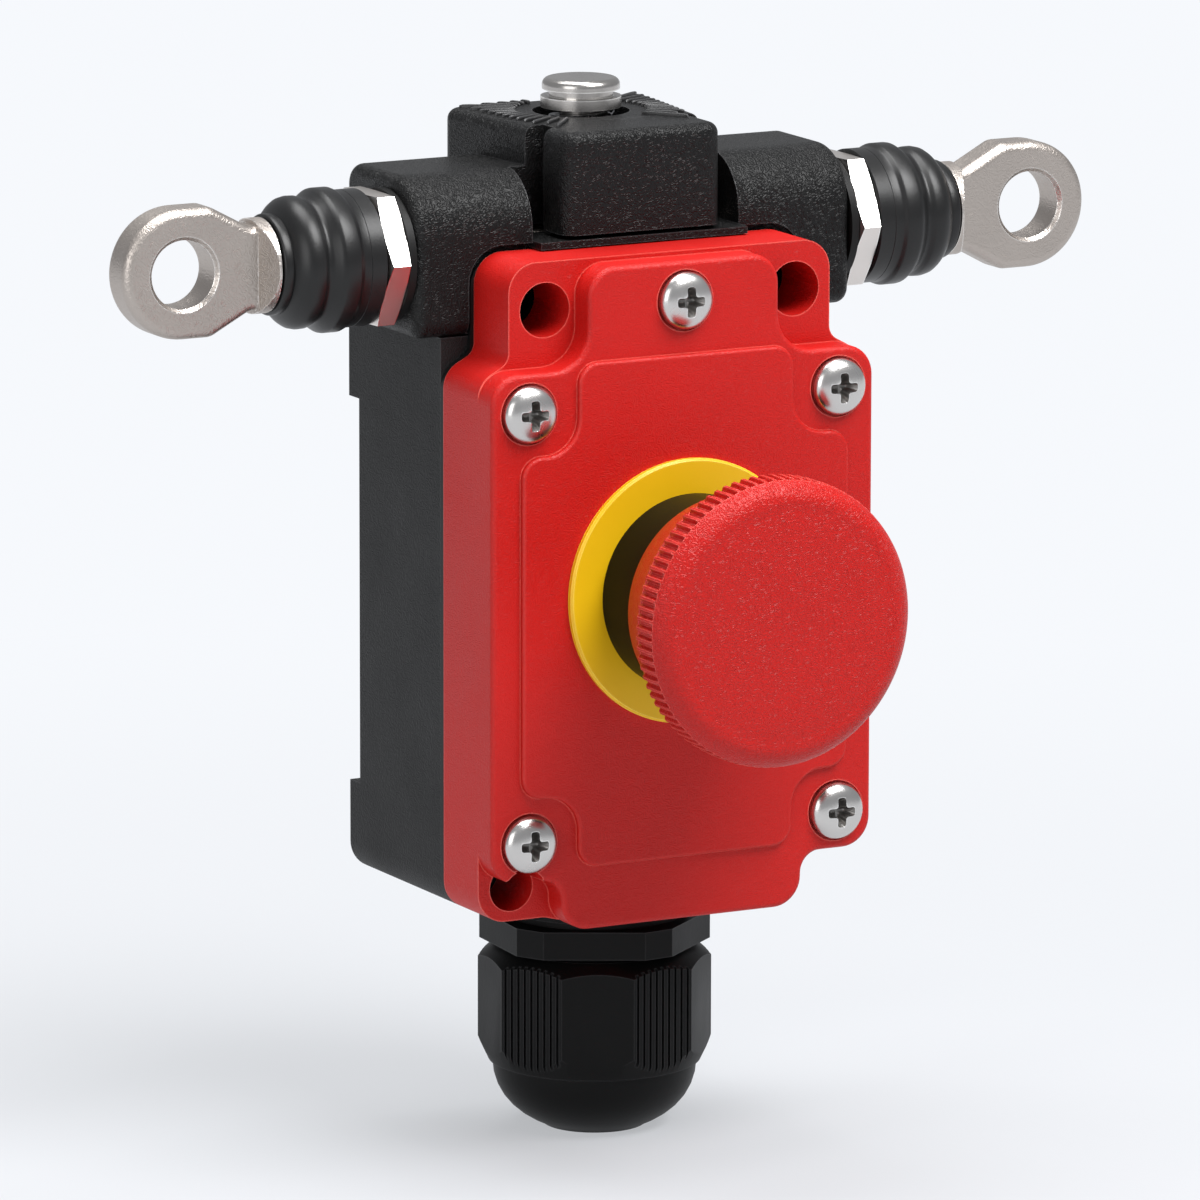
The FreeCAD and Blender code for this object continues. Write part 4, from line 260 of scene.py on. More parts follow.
black_collar = finish(
    "black satin collar", (0.003, 0.003, 0.003), 0.36, 0.4, 0.008, shine=0.08,
)
black_gland = finish(
    "black gland plastic", (0.0022, 0.0022, 0.0022), 0.46, 0.6, 0.02, shine=0.15,
    edge=(0.026, 0.026, 0.027), edge_rough=0.38,
)
print("plastic, rubber and cast finishes:", len(bpy.data.materials))

# %% [markdown]
# The metals have a full Metallic value and take their looks from what they reflect. The cast
# eyes are rougher and warmer than the turned nuts, and their edges are polished by handling. Each
# metal's edge colour is lighter than its face: wear plus a painted highlight.

# %% Metals
satin_screw = finish(
    "satin stainless screw", (0.60, 0.585, 0.57), 0.27, 0.12, 0.006, metal=1.0,
    edge=(0.80, 0.79, 0.78), edge_rough=0.2,
)
bright_nut = finish(
    "bright turned steel", (0.70, 0.66, 0.63), 0.34, 0.15, 0.008, metal=1.0,
    edge=(0.90, 0.88, 0.86), edge_rough=0.16,
)
cast_eye = finish(
    "cast stainless eye", (0.47, 0.425, 0.39), 0.42, 1.3, 0.03, metal=1.0, drift=0.08, worms=True,
    edge=(0.82, 0.79, 0.76), edge_rough=0.22,
)
spring_wire = finish("drawn spring wire", (0.50, 0.50, 0.51), 0.3, 0.2, 0.005, metal=1.0)
contact_brass = finish("contact brass", (0.62, 0.42, 0.16), 0.3, 0.2, 0.005, metal=1.0)
print("finishes so far:", len(bpy.data.materials))

# %% [markdown]
# The reset button's top was faced on a lathe, so its fine rings catch the light. A Wave texture
# of the rings type, centred on the button by a Mapping node, makes them.

# %% The turned button top
turned_button = finish(
    "turned stainless button", (0.47, 0.45, 0.43), 0.26, 0.2, 0.003, metal=1.0,
    edge=(0.85, 0.83, 0.80), edge_rough=0.18,
)
nodes, links = turned_button.node_tree.nodes, turned_button.node_tree.links
shift = nodes.new("ShaderNodeMapping")
shift.inputs["Location"].default_value = (0, 12.9 * MM, 0)
links.new(nodes["Texture Coordinate"].outputs["Object"], shift.inputs["Vector"])
lathe_rings = nodes.new("ShaderNodeTexWave")
lathe_rings.wave_type = "RINGS"
lathe_rings.rings_direction = "Z"
lathe_rings.inputs["Scale"].default_value = 700
lathe_rings.inputs["Distortion"].default_value = 0.6
links.new(shift.outputs["Vector"], lathe_rings.inputs["Vector"])
ring_bump = nodes.new("ShaderNodeBump")
ring_bump.inputs["Distance"].default_value = 0.02 * MM
ring_bump.inputs["Strength"].default_value = 0.6
links.new(lathe_rings.outputs["Fac"], ring_bump.inputs["Height"])
links.new(nodes["Bump"].outputs["Normal"], ring_bump.inputs["Normal"])
links.new(ring_bump.outputs["Normal"], nodes["Principled BSDF"].inputs["Normal"])
print("lathe rings on the", turned_button.name)

# %% Give each CAD piece its finish
BY_SLOT = {
    "red_plastic": red_cover,
    "black_plastic": grey_housing,
    "black_cast_head": black_head,
    "black_seal_rubber": seal_rubber,
    "bellows_rubber": bellows_rubber,
    "stainless_screws": satin_screw,
    "bright_steel": bright_nut,
    "cast_stainless": cast_eye,
    "spring_steel": spring_wire,
    "turned_stainless": turned_button,
    "grey_plastic": inner_plastic,
    "contact_brass": contact_brass,
    "yellow_plastic": yellow_ring,
    "black_satin_plastic": black_collar,
    "stem_plastic": inner_plastic,
}
BY_NODE = {"mushroom_head": red_button, "gland_body": black_gland, "gland_nut": black_gland}
slot_of = {part["node"]: part["material_slot"] for part in frame["record"]["subparts"]}
for name, piece in frame["nodes"].items():
    piece.data.materials.clear()
    piece.data.materials.append(BY_NODE.get(name, BY_SLOT[slot_of[name]]))
print("CAD pieces with a finish:", len(frame["nodes"]))

# %% [markdown]
# Operators act on whatever is selected, and the CAD pieces come in selected. So each piece starts
# by clearing the selection. Most new pieces here are round, so the main helper turns one: it
# adds a circle and extrudes it ring after ring along its axis, with a new radius each time.

# %% Helpers for modelling
TOWARDS = {"X": Vector((1, 0, 0)), "Y": Vector((0, 1, 0)), "Z": Vector((0, 0, 1))}
TILT = {"X": (0, math.pi / 2, 0), "Y": (math.pi / 2, 0, 0), "Z": (0, 0, 0)}


def clear_selection():
    """Leave nothing selected, so that the next operator touches only its own piece."""
    if bpy.context.object and bpy.context.object.mode != "OBJECT":
        bpy.ops.object.mode_set(mode="OBJECT")
    bpy.ops.object.select_all(action="DESELECT")


def take(piece):
    """Make one piece the selected and active one."""
    clear_selection()
    piece.select_set(True)
    bpy.context.view_layer.objects.active = piece
    return piece


def settle(piece, name):
    """Name a piece and move its place into its mesh, as the CAD pieces have it."""
    take(piece)
    bpy.ops.object.transform_apply(location=True, rotation=True, scale=True)
    piece.name = name
    return piece


def squeeze(axis):
    """Which axes a ring's radius lies in, for the resize operator."""
    return [0 if along == axis else 1 for along in "XYZ"]


def turned(name, axis, centre, rings, sides=96, tube=False):
    """A turned piece: a circle is extruded ring after ring along an axis and resized.

    Each ring is (place along the axis, radius) in millimetres. A solid starts and ends in a flat
    cap. A tube's rings go round its wall and come back to the first one.
    """
    clear_selection()
    first = centre + TOWARDS[axis] * rings[0][0] * MM
    bpy.ops.mesh.primitive_circle_add(
        vertices=sides,
        radius=rings[0][1] * MM,
        fill_type="NOTHING" if tube else "NGON",
        location=first,
        rotation=TILT[axis],
    )
    piece = settle(bpy.context.object, name)
    bpy.ops.object.mode_set(mode="EDIT")
    bpy.ops.mesh.select_all(action="SELECT")
    before = rings[0]
    for ring in rings[1:]:
        step = TOWARDS[axis] * (ring[0] - before[0]) * MM
        bpy.ops.mesh.extrude_region_move(TRANSFORM_OT_translate={"value": step})
        share = ring[1] / before[1]
        value = [share if wide else 1 for wide in squeeze(axis)]
        here = centre + TOWARDS[axis] * ring[0] * MM
        bpy.ops.transform.resize(value=value, center_override=here)
        before = ring
    bpy.ops.mesh.select_all(action="SELECT")
    bpy.ops.mesh.remove_doubles(threshold=1e-6)
    bpy.ops.mesh.normals_make_consistent(inside=False)
    bpy.ops.object.mode_set(mode="OBJECT")
    return piece


def smooth(piece, degrees=40):
    """Shade a piece smooth, but keep edges sharper than this angle."""
    take(piece)
    bpy.ops.object.shade_smooth_by_angle(angle=math.radians(degrees))
    return piece


print("a piece can be turned along", ", ".join(TOWARDS))

# %% [markdown]
# ## The mushroom button
#
# The real button is one red moulding: a flared skirt, a narrow groove, a ring of fine grip ribs,
# and a rounded bead round a flat grained face. We turn it from a circle, then sink every other
# pair of rim points a little towards the axis, which leaves ribs of real depth.

# %% Turn the mushroom
BUTTON_AXIS = Vector((0, 0, -39.8)) * MM
RIBS = 88
POINTS_PER_RIB = 4
SIDES = RIBS * POINTS_PER_RIB
MUSHROOM_RINGS = [
    (-66.3, 1.0), (-66.3, 3.55), (-60.5, 3.55), (-60.5, 5.4), (-68.4, 5.4), (-68.4, 14.1),
    (-55.6, 14.1), (-55.6, 14.9), (-55.8, 15.15), (-61.0, 17.1), (-65.4, 18.75), (-65.6, 18.85),
    (-65.8, 18.75), (-65.9, 18.1), (-66.4, 18.1), (-66.45, 19.0), (-66.6, 19.5), (-66.9, 19.8),
    (-67.3, 19.98), (-70.4, 20.0), (-70.9, 19.95), (-71.4, 19.8), (-71.9, 19.5), (-72.5, 19.0),
    (-73.05, 18.3), (-73.35, 17.6), (-73.45, 17.0), (-73.42, 16.4), (-73.42, 15.8),
    (-73.5, 15.0), (-73.6, 13.0), (-73.6, 8.0), (-73.6, 2.0),
]
mushroom = turned("mushroom", "Y", BUTTON_AXIS, MUSHROOM_RINGS, sides=SIDES)
print("mushroom faces:", len(mushroom.data.polygons))

# %% Sink the grooves between the ribs
RIB_DEPTH = 0.6


def pick(piece, wanted):
    """Select the points of a piece that a test picks, and nothing else."""
    take(piece)
    bpy.ops.object.mode_set(mode="EDIT")
    bpy.ops.mesh.select_mode(type="VERT")
    bpy.ops.mesh.select_all(action="DESELECT")
    bpy.ops.object.mode_set(mode="OBJECT")
    chosen = 0
    for point in piece.data.vertices:
        point.select = wanted(point.co)
        chosen += point.select
    bpy.ops.object.mode_set(mode="EDIT")
    return chosen


def in_rib_groove(point):
    """Whether a point of the rim lies between two ribs."""
    across, up = point.x - BUTTON_AXIS.x, point.z - BUTTON_AXIS.z
    if math.hypot(across, up) < 19.4 * MM or not -71.0 * MM < point.y < -66.5 * MM:
        return False
    step = round(math.atan2(up, across) / (2 * math.pi / SIDES))
    return step % POINTS_PER_RIB in (0, 1)


sunk = pick(mushroom, in_rib_groove)
share = 1 - RIB_DEPTH / 20.0
bpy.ops.transform.resize(value=(share, 1, share), center_override=BUTTON_AXIS)
bpy.ops.object.mode_set(mode="OBJECT")
smooth(mushroom, 32)
mushroom.data.materials.append(red_button)
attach(mushroom, "estop_head")
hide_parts("mushroom_head")
print("points in rib grooves:", sunk)

# %% [markdown]
# ## The bellows
#
# Each rubber bellows seals a pull rod. It has a wide band, a large lobe, a deep groove, a
# smaller lobe and a thin lip. It stretches when the eye is pulled.

# %% Turn one bellows for each side
ROPE_AXIS = Vector((0, -20.4, 6.0)) * MM
BELLOWS_WALL = [
    (38.5, 6.75), (38.5, 9.3), (38.65, 9.5), (40.85, 9.5), (40.9, 9.44), (40.95, 9.5),
    (42.0, 9.5), (42.3, 9.62), (42.6, 9.88), (42.9, 10.0), (44.7, 10.0), (45.0, 9.95),
    (45.5, 9.6), (46.2, 9.0), (46.6, 8.8), (46.9, 8.72), (47.2, 8.8), (47.6, 9.05),
    (47.9, 9.15), (48.8, 9.18), (49.6, 9.0), (50.2, 8.6), (50.7, 8.1), (51.1, 7.5),
    (51.3, 7.05), (51.4, 6.9), (51.5, 6.95), (51.7, 7.0), (52.6, 7.0), (52.8, 6.9),
    (52.9, 6.7), (52.9, 5.35), (51.2, 5.35), (51.2, 6.75), (38.5, 6.75),
]
for side, name in ((-1, "left"), (1, "right")):
    wall = [(side * along, radius) for along, radius in BELLOWS_WALL]
    bellows = turned(name + "_bellows_rubber", "X", ROPE_AXIS, wall, 96, tube=True)
    smooth(bellows, 50)
    bellows.data.materials.append(bellows_rubber)
    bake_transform(bellows)
    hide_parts(name + "_bellows")
    print(bellows.name, "faces:", len(bellows.data.polygons))

# %% [markdown]
# ## The cover screws
#
# A pan head is a low dome with a short side. Its cross recess narrows towards the bottom. We turn
# one screw, grow a cross out of a cube by extruding its four sides, shrink its inner end, and cut
# it out of the head. The five screws are copies, and the top one gets a shorter shank.

# %% Turn one screw
screws_low, screws_high = (Vector(corner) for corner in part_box("cover_screws"))
HEAD_FRONT = screws_low.y / MM
HEAD_RINGS = [
    (24.6, 0.9), (23.6, 2.0), (2.6, 2.0), (2.6, 3.85), (2.5, 3.98), (1.7, 4.0), (1.35, 3.93),
    (1.0, 3.72), (0.68, 3.35), (0.42, 2.85), (0.22, 2.25), (0.08, 1.5), (0.0, 0.5),
]
screw = turned(
    "cover_screw", "Y", Vector((0, HEAD_FRONT, 0)) * MM, HEAD_RINGS, sides=64
)
print("screw head front at", round(HEAD_FRONT, 2), "mm")

# %% Two more helpers, to bevel and to cut
def bevel(piece, width, segments=3, degrees=40):
    """Round the sharp edges of a piece with a Bevel modifier, and apply it."""
    take(piece)
    modifier = piece.modifiers.new("rounded edges", "BEVEL")
    modifier.width = width * MM
    modifier.segments = segments
    modifier.limit_method = "ANGLE"
    modifier.angle_limit = math.radians(degrees)
    bpy.ops.object.modifier_apply(modifier=modifier.name)
    return piece


def carve(piece, cutter, operation="DIFFERENCE"):
    """Cut one piece with another by a Boolean modifier, and delete the cutter."""
    take(piece)
    modifier = piece.modifiers.new("carved", "BOOLEAN")
    modifier.operation = operation
    modifier.solver = "EXACT"
    modifier.object = cutter
    bpy.ops.object.modifier_apply(modifier=modifier.name)
    take(cutter)
    bpy.ops.object.delete()
    return piece


print("made helpers:", bevel.__name__, "and", carve.__name__)

# %% Make the cross that cuts the recess
RECESS_WIDTH, RECESS_SPAN, RECESS_DEPTH = 1.3, 4.4, 2.1
clear_selection()
bpy.ops.mesh.primitive_cube_add(size=1, location=(0, (HEAD_FRONT - 0.5) * MM, 0))
cross = bpy.context.object
cross.scale = (RECESS_WIDTH * MM, 1.0 * MM, RECESS_WIDTH * MM)
settle(cross, "cross_cutter")
bpy.ops.object.mode_set(mode="EDIT")
bpy.ops.mesh.select_mode(type="FACE")
bpy.ops.object.mode_set(mode="OBJECT")
arm = (RECESS_SPAN - RECESS_WIDTH) / 2 * MM
for normal in (Vector((1, 0, 0)), Vector((-1, 0, 0)), Vector((0, 0, 1)), Vector((0, 0, -1))):
    bpy.ops.object.mode_set(mode="EDIT")
    bpy.ops.mesh.select_all(action="DESELECT")
    bpy.ops.object.mode_set(mode="OBJECT")
    middle = normal * RECESS_WIDTH / 2 * MM
    for face in cross.data.polygons:
        gap = (face.center - middle) * Vector((1, 0, 1))
        face.select = face.normal.dot(normal) > 0.9 and gap.length < 1e-5
    bpy.ops.object.mode_set(mode="EDIT")
    bpy.ops.mesh.extrude_region_move(TRANSFORM_OT_translate={"value": normal * arm})
    bpy.ops.object.mode_set(mode="OBJECT")
back_of_cross = max(face.center.y for face in cross.data.polygons)
bpy.ops.object.mode_set(mode="EDIT")
bpy.ops.mesh.select_all(action="DESELECT")
bpy.ops.object.mode_set(mode="OBJECT")
for face in cross.data.polygons:
    face.select = face.normal.y > 0.9 and face.center.y > back_of_cross - 1e-6
bpy.ops.object.mode_set(mode="EDIT")
sink = Vector((0, RECESS_DEPTH, 0)) * MM
bpy.ops.mesh.extrude_region_move(TRANSFORM_OT_translate={"value": sink})
bpy.ops.transform.resize(value=(0.55, 1, 0.55), center_override=(0, 0, 0))
bpy.ops.mesh.select_all(action="SELECT")
bpy.ops.mesh.normals_make_consistent(inside=False)
bpy.ops.object.mode_set(mode="OBJECT")
print("cross faces:", len(cross.data.polygons))

# %% Cut the recess
bevel(cross, 0.4, segments=3, degrees=60)
carve(screw, cross)
bevel(screw, 0.06, segments=2, degrees=50)
smooth(screw, 35)
print("screw faces:", len(screw.data.polygons))

# %% [markdown]
# Little light reaches the bottom of the recess, so its faces get a darker colour, which is painted
# shade, and the driver leaves them a little rougher. They are picked by their place: near the axis
# and below the dome.

# %% Painted shade and a rougher finish inside the recess
RECESS_REACH, RECESS_TOP, RECESS_BOTTOM = 2.3, 0.35, 2.5
# Painted shade: a darker colour for the faces deep in the recess.
recess_painted_shade = finish("painted shade in a screw recess", (0.26, 0.25, 0.24), 0.36, 0.2, 0.01, metal=1.0)
screw.data.materials.append(satin_screw)
screw.data.materials.append(recess_painted_shade)
for face in screw.data.polygons:
    reach = Vector((face.center.x, 0, face.center.z)).length
    depth = face.center.y - HEAD_FRONT * MM
    if reach < RECESS_REACH * MM and RECESS_TOP * MM < depth < RECESS_BOTTOM * MM:
        face.material_index = 1
print("faces in painted shade:", sum(face.material_index for face in screw.data.polygons))

# %% Five copies
def copy_of(piece, name, shift=(0, 0, 0)):
    """A copy with a mesh of its own, moved by some millimetres."""
    take(piece)
    bpy.ops.object.duplicate()
    twin = bpy.context.object
    twin.location = Vector(shift) * MM
    return settle(twin, name)


SCREW_PLACES = {
    "upper_left": (-24.05, -13.4), "upper_right": (24.05, -13.4), "top": (0.0, 0.5),
    "lower_left": (-24.05, -73.4), "lower_right": (24.05, -73.4),
}
TOP_SHANK_CUT = 2.0
for place, (across, up) in SCREW_PLACES.items():
    one = copy_of(screw, "cover_screw_" + place, (across, 0, up))
    if place == "top":
        pick(one, lambda point: point.y > (HEAD_FRONT + 20) * MM)
        bpy.ops.transform.translate(value=(0, -TOP_SHANK_CUT * MM, 0))
        bpy.ops.object.mode_set(mode="OBJECT")
    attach(one, "housing")
    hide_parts("cover_screws")
take(screw)
bpy.ops.object.delete()
print("screws:", len(SCREW_PLACES))

# %% [markdown]
# ## The gland nut
#
# The dome nut is a ten-sided moulding. Every second flat has fine ribs for grip. A cone cuts the
# upper corners and a steeper one the lower corners, and below a small step the nut ends in a
# smooth dome. We extrude the ten-sided body, cut the ribs' grooves with one bar that is copied, and
# keep what it shares with a turned envelope. The inside is cut out by a turned core.

# %% The ten-sided body
nut_low, nut_high = (Vector(corner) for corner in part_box("gland_nut"))
NUT_RISE = 1.5
NUT_TOP, NUT_END = nut_high.z / MM + NUT_RISE, nut_low.z / MM
GLAND_AXIS = Vector((0, (nut_low.y + nut_high.y) / 2, 0))
FLATS = 31.3
CORNER = FLATS / 2 / math.cos(math.pi / 10)
FIRST_FLAT = 28.0
TAPER_START, DOME_START = NUT_END + 12.6, NUT_END + 9.4
flats = turned(
    "gland_nut_ribbed", "Z", GLAND_AXIS, [(NUT_TOP, CORNER), (NUT_END - 1, CORNER)], sides=10
)
first_corner = flats.data.vertices[0].co - GLAND_AXIS
corner_angle = math.degrees(math.atan2(first_corner.y, first_corner.x))
swing = math.radians(FIRST_FLAT + 18 - corner_angle)
flats.data.transform(Matrix.Translation(GLAND_AXIS) @ Matrix.Rotation(swing, 4, "Z")
                     @ Matrix.Translation(-GLAND_AXIS))
print("nut from", round(NUT_TOP, 2), "to", round(NUT_END, 2), "mm")

# %% The grooves of the ribbed flats
def join(pieces, name):
    """Join several pieces into one mesh."""
    clear_selection()
    for piece in pieces:
        piece.select_set(True)
    bpy.context.view_layer.objects.active = pieces[0]
    bpy.ops.object.join()
    pieces[0].name = name
    return pieces[0]


GROOVES, PITCH, GROOVE_WIDTH, GROOVE_DEPTH, BAR_LENGTH = 9, 1.1, 0.42, 0.4, 30
clear_selection()
bpy.ops.mesh.primitive_cube_add(size=1)
bar = bpy.context.object
bar.scale = (2 * GROOVE_DEPTH * MM, GROOVE_WIDTH * MM, BAR_LENGTH * MM)
bar.location = (FLATS / 2 * MM, 0, (NUT_TOP + NUT_END) / 2 * MM)
settle(bar, "groove_bar")
bars = []
for flat in range(5):
    angle = math.radians(FIRST_FLAT + 36 + 72 * flat)
    for step in range(GROOVES):
        sideways = (step - (GROOVES - 1) / 2) * PITCH
        groove = copy_of(bar, "groove", (0, sideways, 0))
        groove.data.transform(Matrix.Translation(GLAND_AXIS) @ Matrix.Rotation(angle, 4, "Z"))
        bars.append(groove)
take(bar)
bpy.ops.object.delete()
carve(flats, join(bars, "groove_bars"))
print("grooves:", len(bars))

# %% The envelope and the core
CORE_RADIUS, BEYOND = 13.4, 0.05
envelope = turned("nut_envelope", "Z", GLAND_AXIS, [
    (NUT_TOP, 14.1), (NUT_TOP - 2.1, CORNER + BEYOND), (TAPER_START, CORNER + BEYOND),
    (DOME_START, 15.0), (DOME_START - 0.2, 14.4), (NUT_END + 9.0, 14.4),
    (NUT_END + 7.4, 14.22), (NUT_END + 5.8, 13.72), (NUT_END + 4.3, 12.9),
    (NUT_END + 3.0, 11.8), (NUT_END + 1.9, 10.5), (NUT_END + 1.0, 9.05),
    (NUT_END + 0.4, 7.8), (NUT_END, 7.2), (NUT_END, 7.0),
], sides=128)
carve(flats, envelope, "INTERSECT")
core = turned("nut_core", "Z", GLAND_AXIS, [
    (NUT_TOP + 1, CORE_RADIUS), (NUT_END + 12.0, CORE_RADIUS), (NUT_END + 3.0, 9.5),
    (NUT_END + 1.5, 7.0), (NUT_END - 1, 7.0),
], sides=96)
carve(flats, core)
smooth(flats, 28)
flats.data.materials.append(black_gland)
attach(flats, "housing")
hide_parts("gland_nut")
print("gland nut faces:", len(flats.data.polygons))

# %% [markdown]
# ## Ridges on top of the head
#
# The casting has fine raised ridges that fan out from the reset button over the top of the
# block. We model one ridge, a low bar with a rounded back, copy it round the button, and stretch
# each copy until it ends just inside the block's edge.

# %% One ridge
head_low, head_high = (Vector(corner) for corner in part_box("head_housing"))
BLOCK_TOP = head_high.z / MM
RESET_Y = -12.9
RIDGE_START, RIDGE_WIDTH, RIDGE_HEIGHT, RIDGE_COUNT = 9.2, 0.55, 0.5, 46
clear_selection()
bpy.ops.mesh.primitive_cube_add(size=1)
ridge = bpy.context.object
ridge.scale = (1 * MM, RIDGE_WIDTH * MM, 2 * RIDGE_HEIGHT * MM)
settle(ridge, "ridge")
bevel(ridge, 0.2, segments=2)
print("ridge points:", len(ridge.data.vertices))

# %% Copies all round
SIDE_AT_BACK, SIDE_AT_FRONT, EDGE_BACK, EDGE_FRONT = 16.0, 13.6, -1.0, -22.2
BACK_MARGIN, SIDE_MARGIN, FRONT_REACH = 2.0, 1.8, 15.0
SLIT_BACK, SLIT_INNER_SIDE = -21.5, 10.2
SHORTEST_RIDGE, SMOOTH_FRONT = 1.2, 0.8


def reach_along(angle):
    """How far a ridge may run from the button's axis before it nears the block's edge."""
    run = Vector((math.cos(angle), math.sin(angle), 0))
    limits = []
    if run.y > 0:
        limits.append((EDGE_BACK - BACK_MARGIN - RESET_Y) / run.y)
    if run.y < 0:
        before_slit = (RESET_Y - SLIT_BACK) / -run.y
        if abs(run.x) * before_slit > SLIT_INNER_SIDE:
            limits.append(before_slit)
        else:
            limits.append(min(SLIT_INNER_SIDE / max(abs(run.x), 0.01), FRONT_REACH / -run.y))
    slope = (SIDE_AT_BACK - SIDE_AT_FRONT) / (EDGE_BACK - EDGE_FRONT)
    side_here = SIDE_AT_FRONT - SIDE_MARGIN + slope * (RESET_Y - EDGE_FRONT)
    rate = abs(run.x) - slope * run.y
    if rate > 0:
        limits.append(side_here / rate)
    return min(limits)


ridges = []
for number in range(RIDGE_COUNT):
    angle = 2 * math.pi * (number + 0.5) / RIDGE_COUNT
    length = reach_along(angle) - RIDGE_START
    towards_front = math.sin(angle) < -SMOOTH_FRONT
    if length < SHORTEST_RIDGE or towards_front:
        continue
    one = copy_of(ridge, "ridge_copy")
    stretch = Matrix.Diagonal((length, 1, 1, 1))
    out = Matrix.Translation(Vector((RIDGE_START + length / 2, 0, 0)) * MM)
    spin = Matrix.Rotation(angle, 4, "Z")
    seat = Matrix.Translation(Vector((0, RESET_Y, BLOCK_TOP)) * MM)
    one.data.transform(seat @ spin @ out @ stretch)
    ridges.append(one)
take(ridge)
bpy.ops.object.delete()
count = len(ridges)
ridges = join(ridges, "head_top_ridges")
smooth(ridges, 50)
# The ridges are lighter than the casting, and their edge colour is rubbed wear plus a painted
# highlight.
ridge_top = finish(
    "lighter ridges of the head with worn, highlit edges", (0.012, 0.012, 0.0125), 0.36, 0.4, 0.02, shine=0.4,
    edge=(0.07, 0.07, 0.072), edge_rough=0.32,
)
ridges.data.materials.append(ridge_top)
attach(ridges, "housing")
print("ridges:", count)

# %% [markdown]
# ## The springs
#
# A spring is squeezed between a fixed seat and a moving one. We copy the CAD coil and merge its
# loose triangles.

# %% Copies of the springs
SPRINGS = {
    "left_rope_spring": ("left_pull", (-38.7, -20.4, 6.0), (-27.0, -20.4, 6.0)),
    "right_rope_spring": ("right_pull", (38.7, -20.4, 6.0), (27.0, -20.4, 6.0)),
    "left_contact_spring": ("left_plunger", (-9.0, -20.4, -24.3), (-9.0, -20.4, -17.2)),
    "right_contact_spring": ("right_plunger", (9.0, -20.4, -24.3), (9.0, -20.4, -17.2)),
    "reset_spring": ("reset", (0, -12.9, 13.7), (0, -12.9, 23.2)),
    "estop_spring": ("estop_push", (0, -36.1, -39.8), (0, -47.9, -39.8)),
    "estop_contact_spring": ("estop_push", (0, -7.1, -39.8), (0, -19.6, -39.8)),
}
for name, (body, fixed_end, moving_end) in SPRINGS.items():
    take(frame["nodes"][name])
    bpy.ops.object.duplicate()
    coil = bpy.context.object
    bpy.ops.object.parent_clear(type="CLEAR_KEEP_TRANSFORM")
    coil.name = name + "_coil"
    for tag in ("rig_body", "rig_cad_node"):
        del coil[tag]
    bpy.ops.object.mode_set(mode="EDIT")
    bpy.ops.mesh.select_all(action="SELECT")
    bpy.ops.mesh.remove_doubles(threshold=1e-6)
    bpy.ops.object.mode_set(mode="OBJECT")
    smooth(coil, 50)
    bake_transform(coil)
    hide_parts(name)
    print(coil.name, "points:", len(coil.data.vertices))

# %% [markdown]
# ## Stage, light and camera
#
# The object stands on a plain pale floor that runs far back. Near the object, less than half of
# the floor's brightness is its own pale colour, for what the camera and the polished metal see,
# and the lamps give the rest, so it keeps the object's soft shadow. Further away the floor shows
# only its own colour, which stays even. The world shows the camera the same pale colour, so the
# floor has no visible end, and lights the object only weakly. The lamps are large and soft, and
# the main one stands above and in front. The lens is long, as for a product photo.

# %% Floor
PALE = (0.925, 0.945, 0.98, 1)
floor_height = cad_box[0][2]
clear_selection()
bpy.ops.mesh.primitive_plane_add(size=12, location=(0, 3, floor_height))
floor = bpy.context.object
floor.name = "floor"
floor_paint = bpy.data.materials.new("pale floor")
floor_paint.use_nodes = True
nodes, links = floor_paint.node_tree.nodes, floor_paint.node_tree.links
floor_shader, floor_out = nodes["Principled BSDF"], nodes["Material Output"]
floor_shader.inputs["Base Color"].default_value = (0.50, 0.512, 0.533, 1)
floor_shader.inputs["Roughness"].default_value = 0.8
floor_shader.inputs["Specular IOR Level"].default_value = 0.1
glow = nodes.new("ShaderNodeEmission")
glow.inputs["Color"].default_value = PALE
rays = nodes.new("ShaderNodeLightPath")
seen = nodes.new("ShaderNodeMath")
seen.operation = "MAXIMUM"
links.new(rays.outputs["Is Camera Ray"], seen.inputs[0])
links.new(rays.outputs["Is Glossy Ray"], seen.inputs[1])
own_light = nodes.new("ShaderNodeMath")
own_light.operation = "MULTIPLY"
links.new(seen.outputs["Value"], own_light.inputs[0])
spot = nodes.new("ShaderNodeNewGeometry")
away = nodes.new("ShaderNodeVectorMath")
away.operation = "LENGTH"
links.new(spot.outputs["Position"], away.inputs[0])
fade = nodes.new("ShaderNodeMapRange")
fade.interpolation_type = "SMOOTHSTEP"
fade.inputs["From Min"].default_value = 0.08
fade.inputs["From Max"].default_value = 0.36
fade.inputs["To Min"].default_value = 0.44
fade.inputs["To Max"].default_value = 1.0
links.new(away.outputs["Value"], fade.inputs["Value"])
links.new(fade.outputs["Result"], own_light.inputs[1])
blend_in = nodes.new("ShaderNodeMixShader")
links.new(own_light.outputs["Value"], blend_in.inputs["Fac"])
links.new(floor_shader.outputs["BSDF"], blend_in.inputs[1])
links.new(glow.outputs["Emission"], blend_in.inputs[2])
links.new(blend_in.outputs["Shader"], floor_out.inputs["Surface"])
floor.data.materials.append(floor_paint)
print("floor at", round(floor_height / MM, 2), "mm")

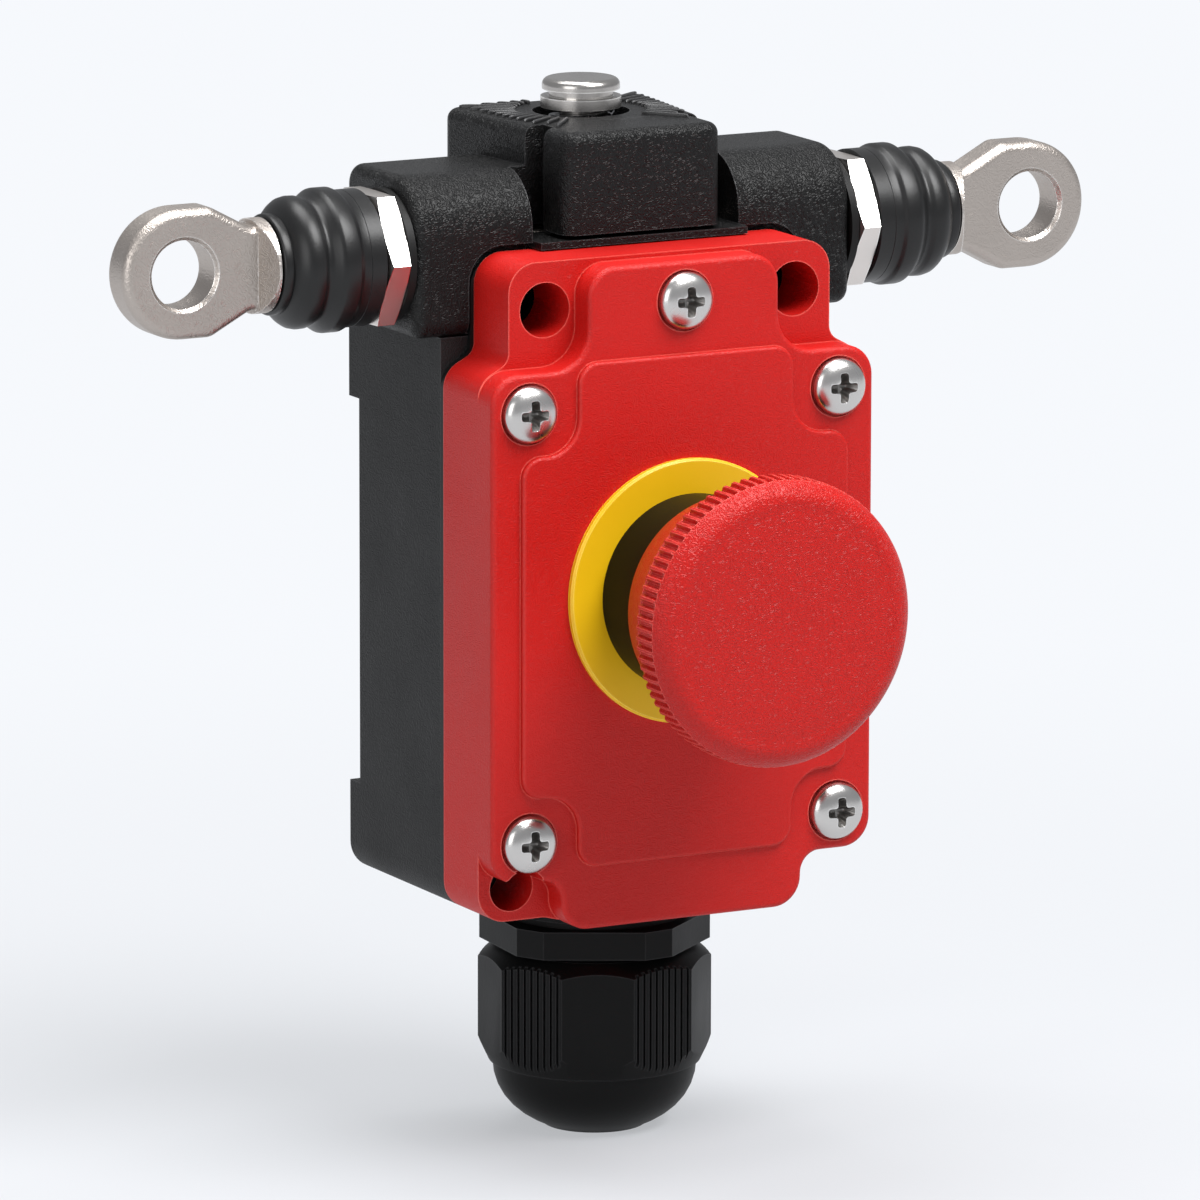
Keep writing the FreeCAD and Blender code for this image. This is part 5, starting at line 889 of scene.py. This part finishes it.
# %% World and lamps
scene = bpy.context.scene
world = bpy.data.worlds.new("studio")
scene.world = world
world.use_nodes = True
sky = world.node_tree.nodes["Background"]
sky.inputs["Color"].default_value = PALE
nodes, links = world.node_tree.nodes, world.node_tree.links
rays = nodes.new("ShaderNodeLightPath")
level = nodes.new("ShaderNodeMapRange")
level.inputs["To Min"].default_value = 0.18
level.inputs["To Max"].default_value = 0.42
links.new(rays.outputs["Is Glossy Ray"], level.inputs["Value"])
strength = nodes.new("ShaderNodeMath")
strength.operation = "MAXIMUM"
links.new(level.outputs["Result"], strength.inputs[0])
links.new(rays.outputs["Is Camera Ray"], strength.inputs[1])
links.new(strength.outputs["Value"], sky.inputs["Strength"])


def lamp(name, place, size, power, aim=(0, -20, -40)):
    """A large soft lamp that points at the object. Places are in millimetres."""
    clear_selection()
    bpy.ops.object.light_add(type="AREA", location=Vector(place) * MM)
    light = bpy.context.object
    light.name = name
    light.data.size = size * MM
    light.data.energy = power
    towards = Vector(aim) * MM - light.location
    light.rotation_euler = towards.to_track_quat("-Z", "Y").to_euler()
    return light


lamp("key", (240, -540, 840), 600, 14.4)
lamp("left fill", (-1300, -700, 400), 900, 6.5)
lamp("top", (-100, 250, 1300), 900, 16)

# %% Camera
AZIMUTH, ELEVATION, ROLL = math.radians(27.8), math.radians(11.2), math.radians(0.1)
DISTANCE = 1500.9
back = Vector((
    -math.sin(AZIMUTH) * math.cos(ELEVATION),
    -math.cos(AZIMUTH) * math.cos(ELEVATION),
    math.sin(ELEVATION),
))
right = Vector((math.cos(AZIMUTH), -math.sin(AZIMUTH), 0))
up = back.cross(right)
aim = Vector((0, -28.6, -39.8)) + right * -4.54 + up * -4.15
camera = bpy.data.objects.new("camera", bpy.data.cameras.new("camera"))
scene.collection.objects.link(camera)
scene.camera = camera
camera.data.lens = 324
camera.data.sensor_width = 36
camera.data.clip_end = 20
tilted_right = right * math.cos(ROLL) + up * math.sin(ROLL)
tilted_up = back.cross(tilted_right)
axes = [tilted_right, tilted_up, back]
camera.matrix_world = Matrix([[axis[row] for axis in axes] for row in range(3)]).to_4x4()
camera.location = (aim + back * DISTANCE) * MM
scene.view_settings.view_transform = "Standard"
print("camera", round(DISTANCE), "mm away, lens", camera.data.lens, "mm")

# %% Show the CAD box, and finish
clear_selection()
print("CAD box:", [list(c) for c in cad_box])
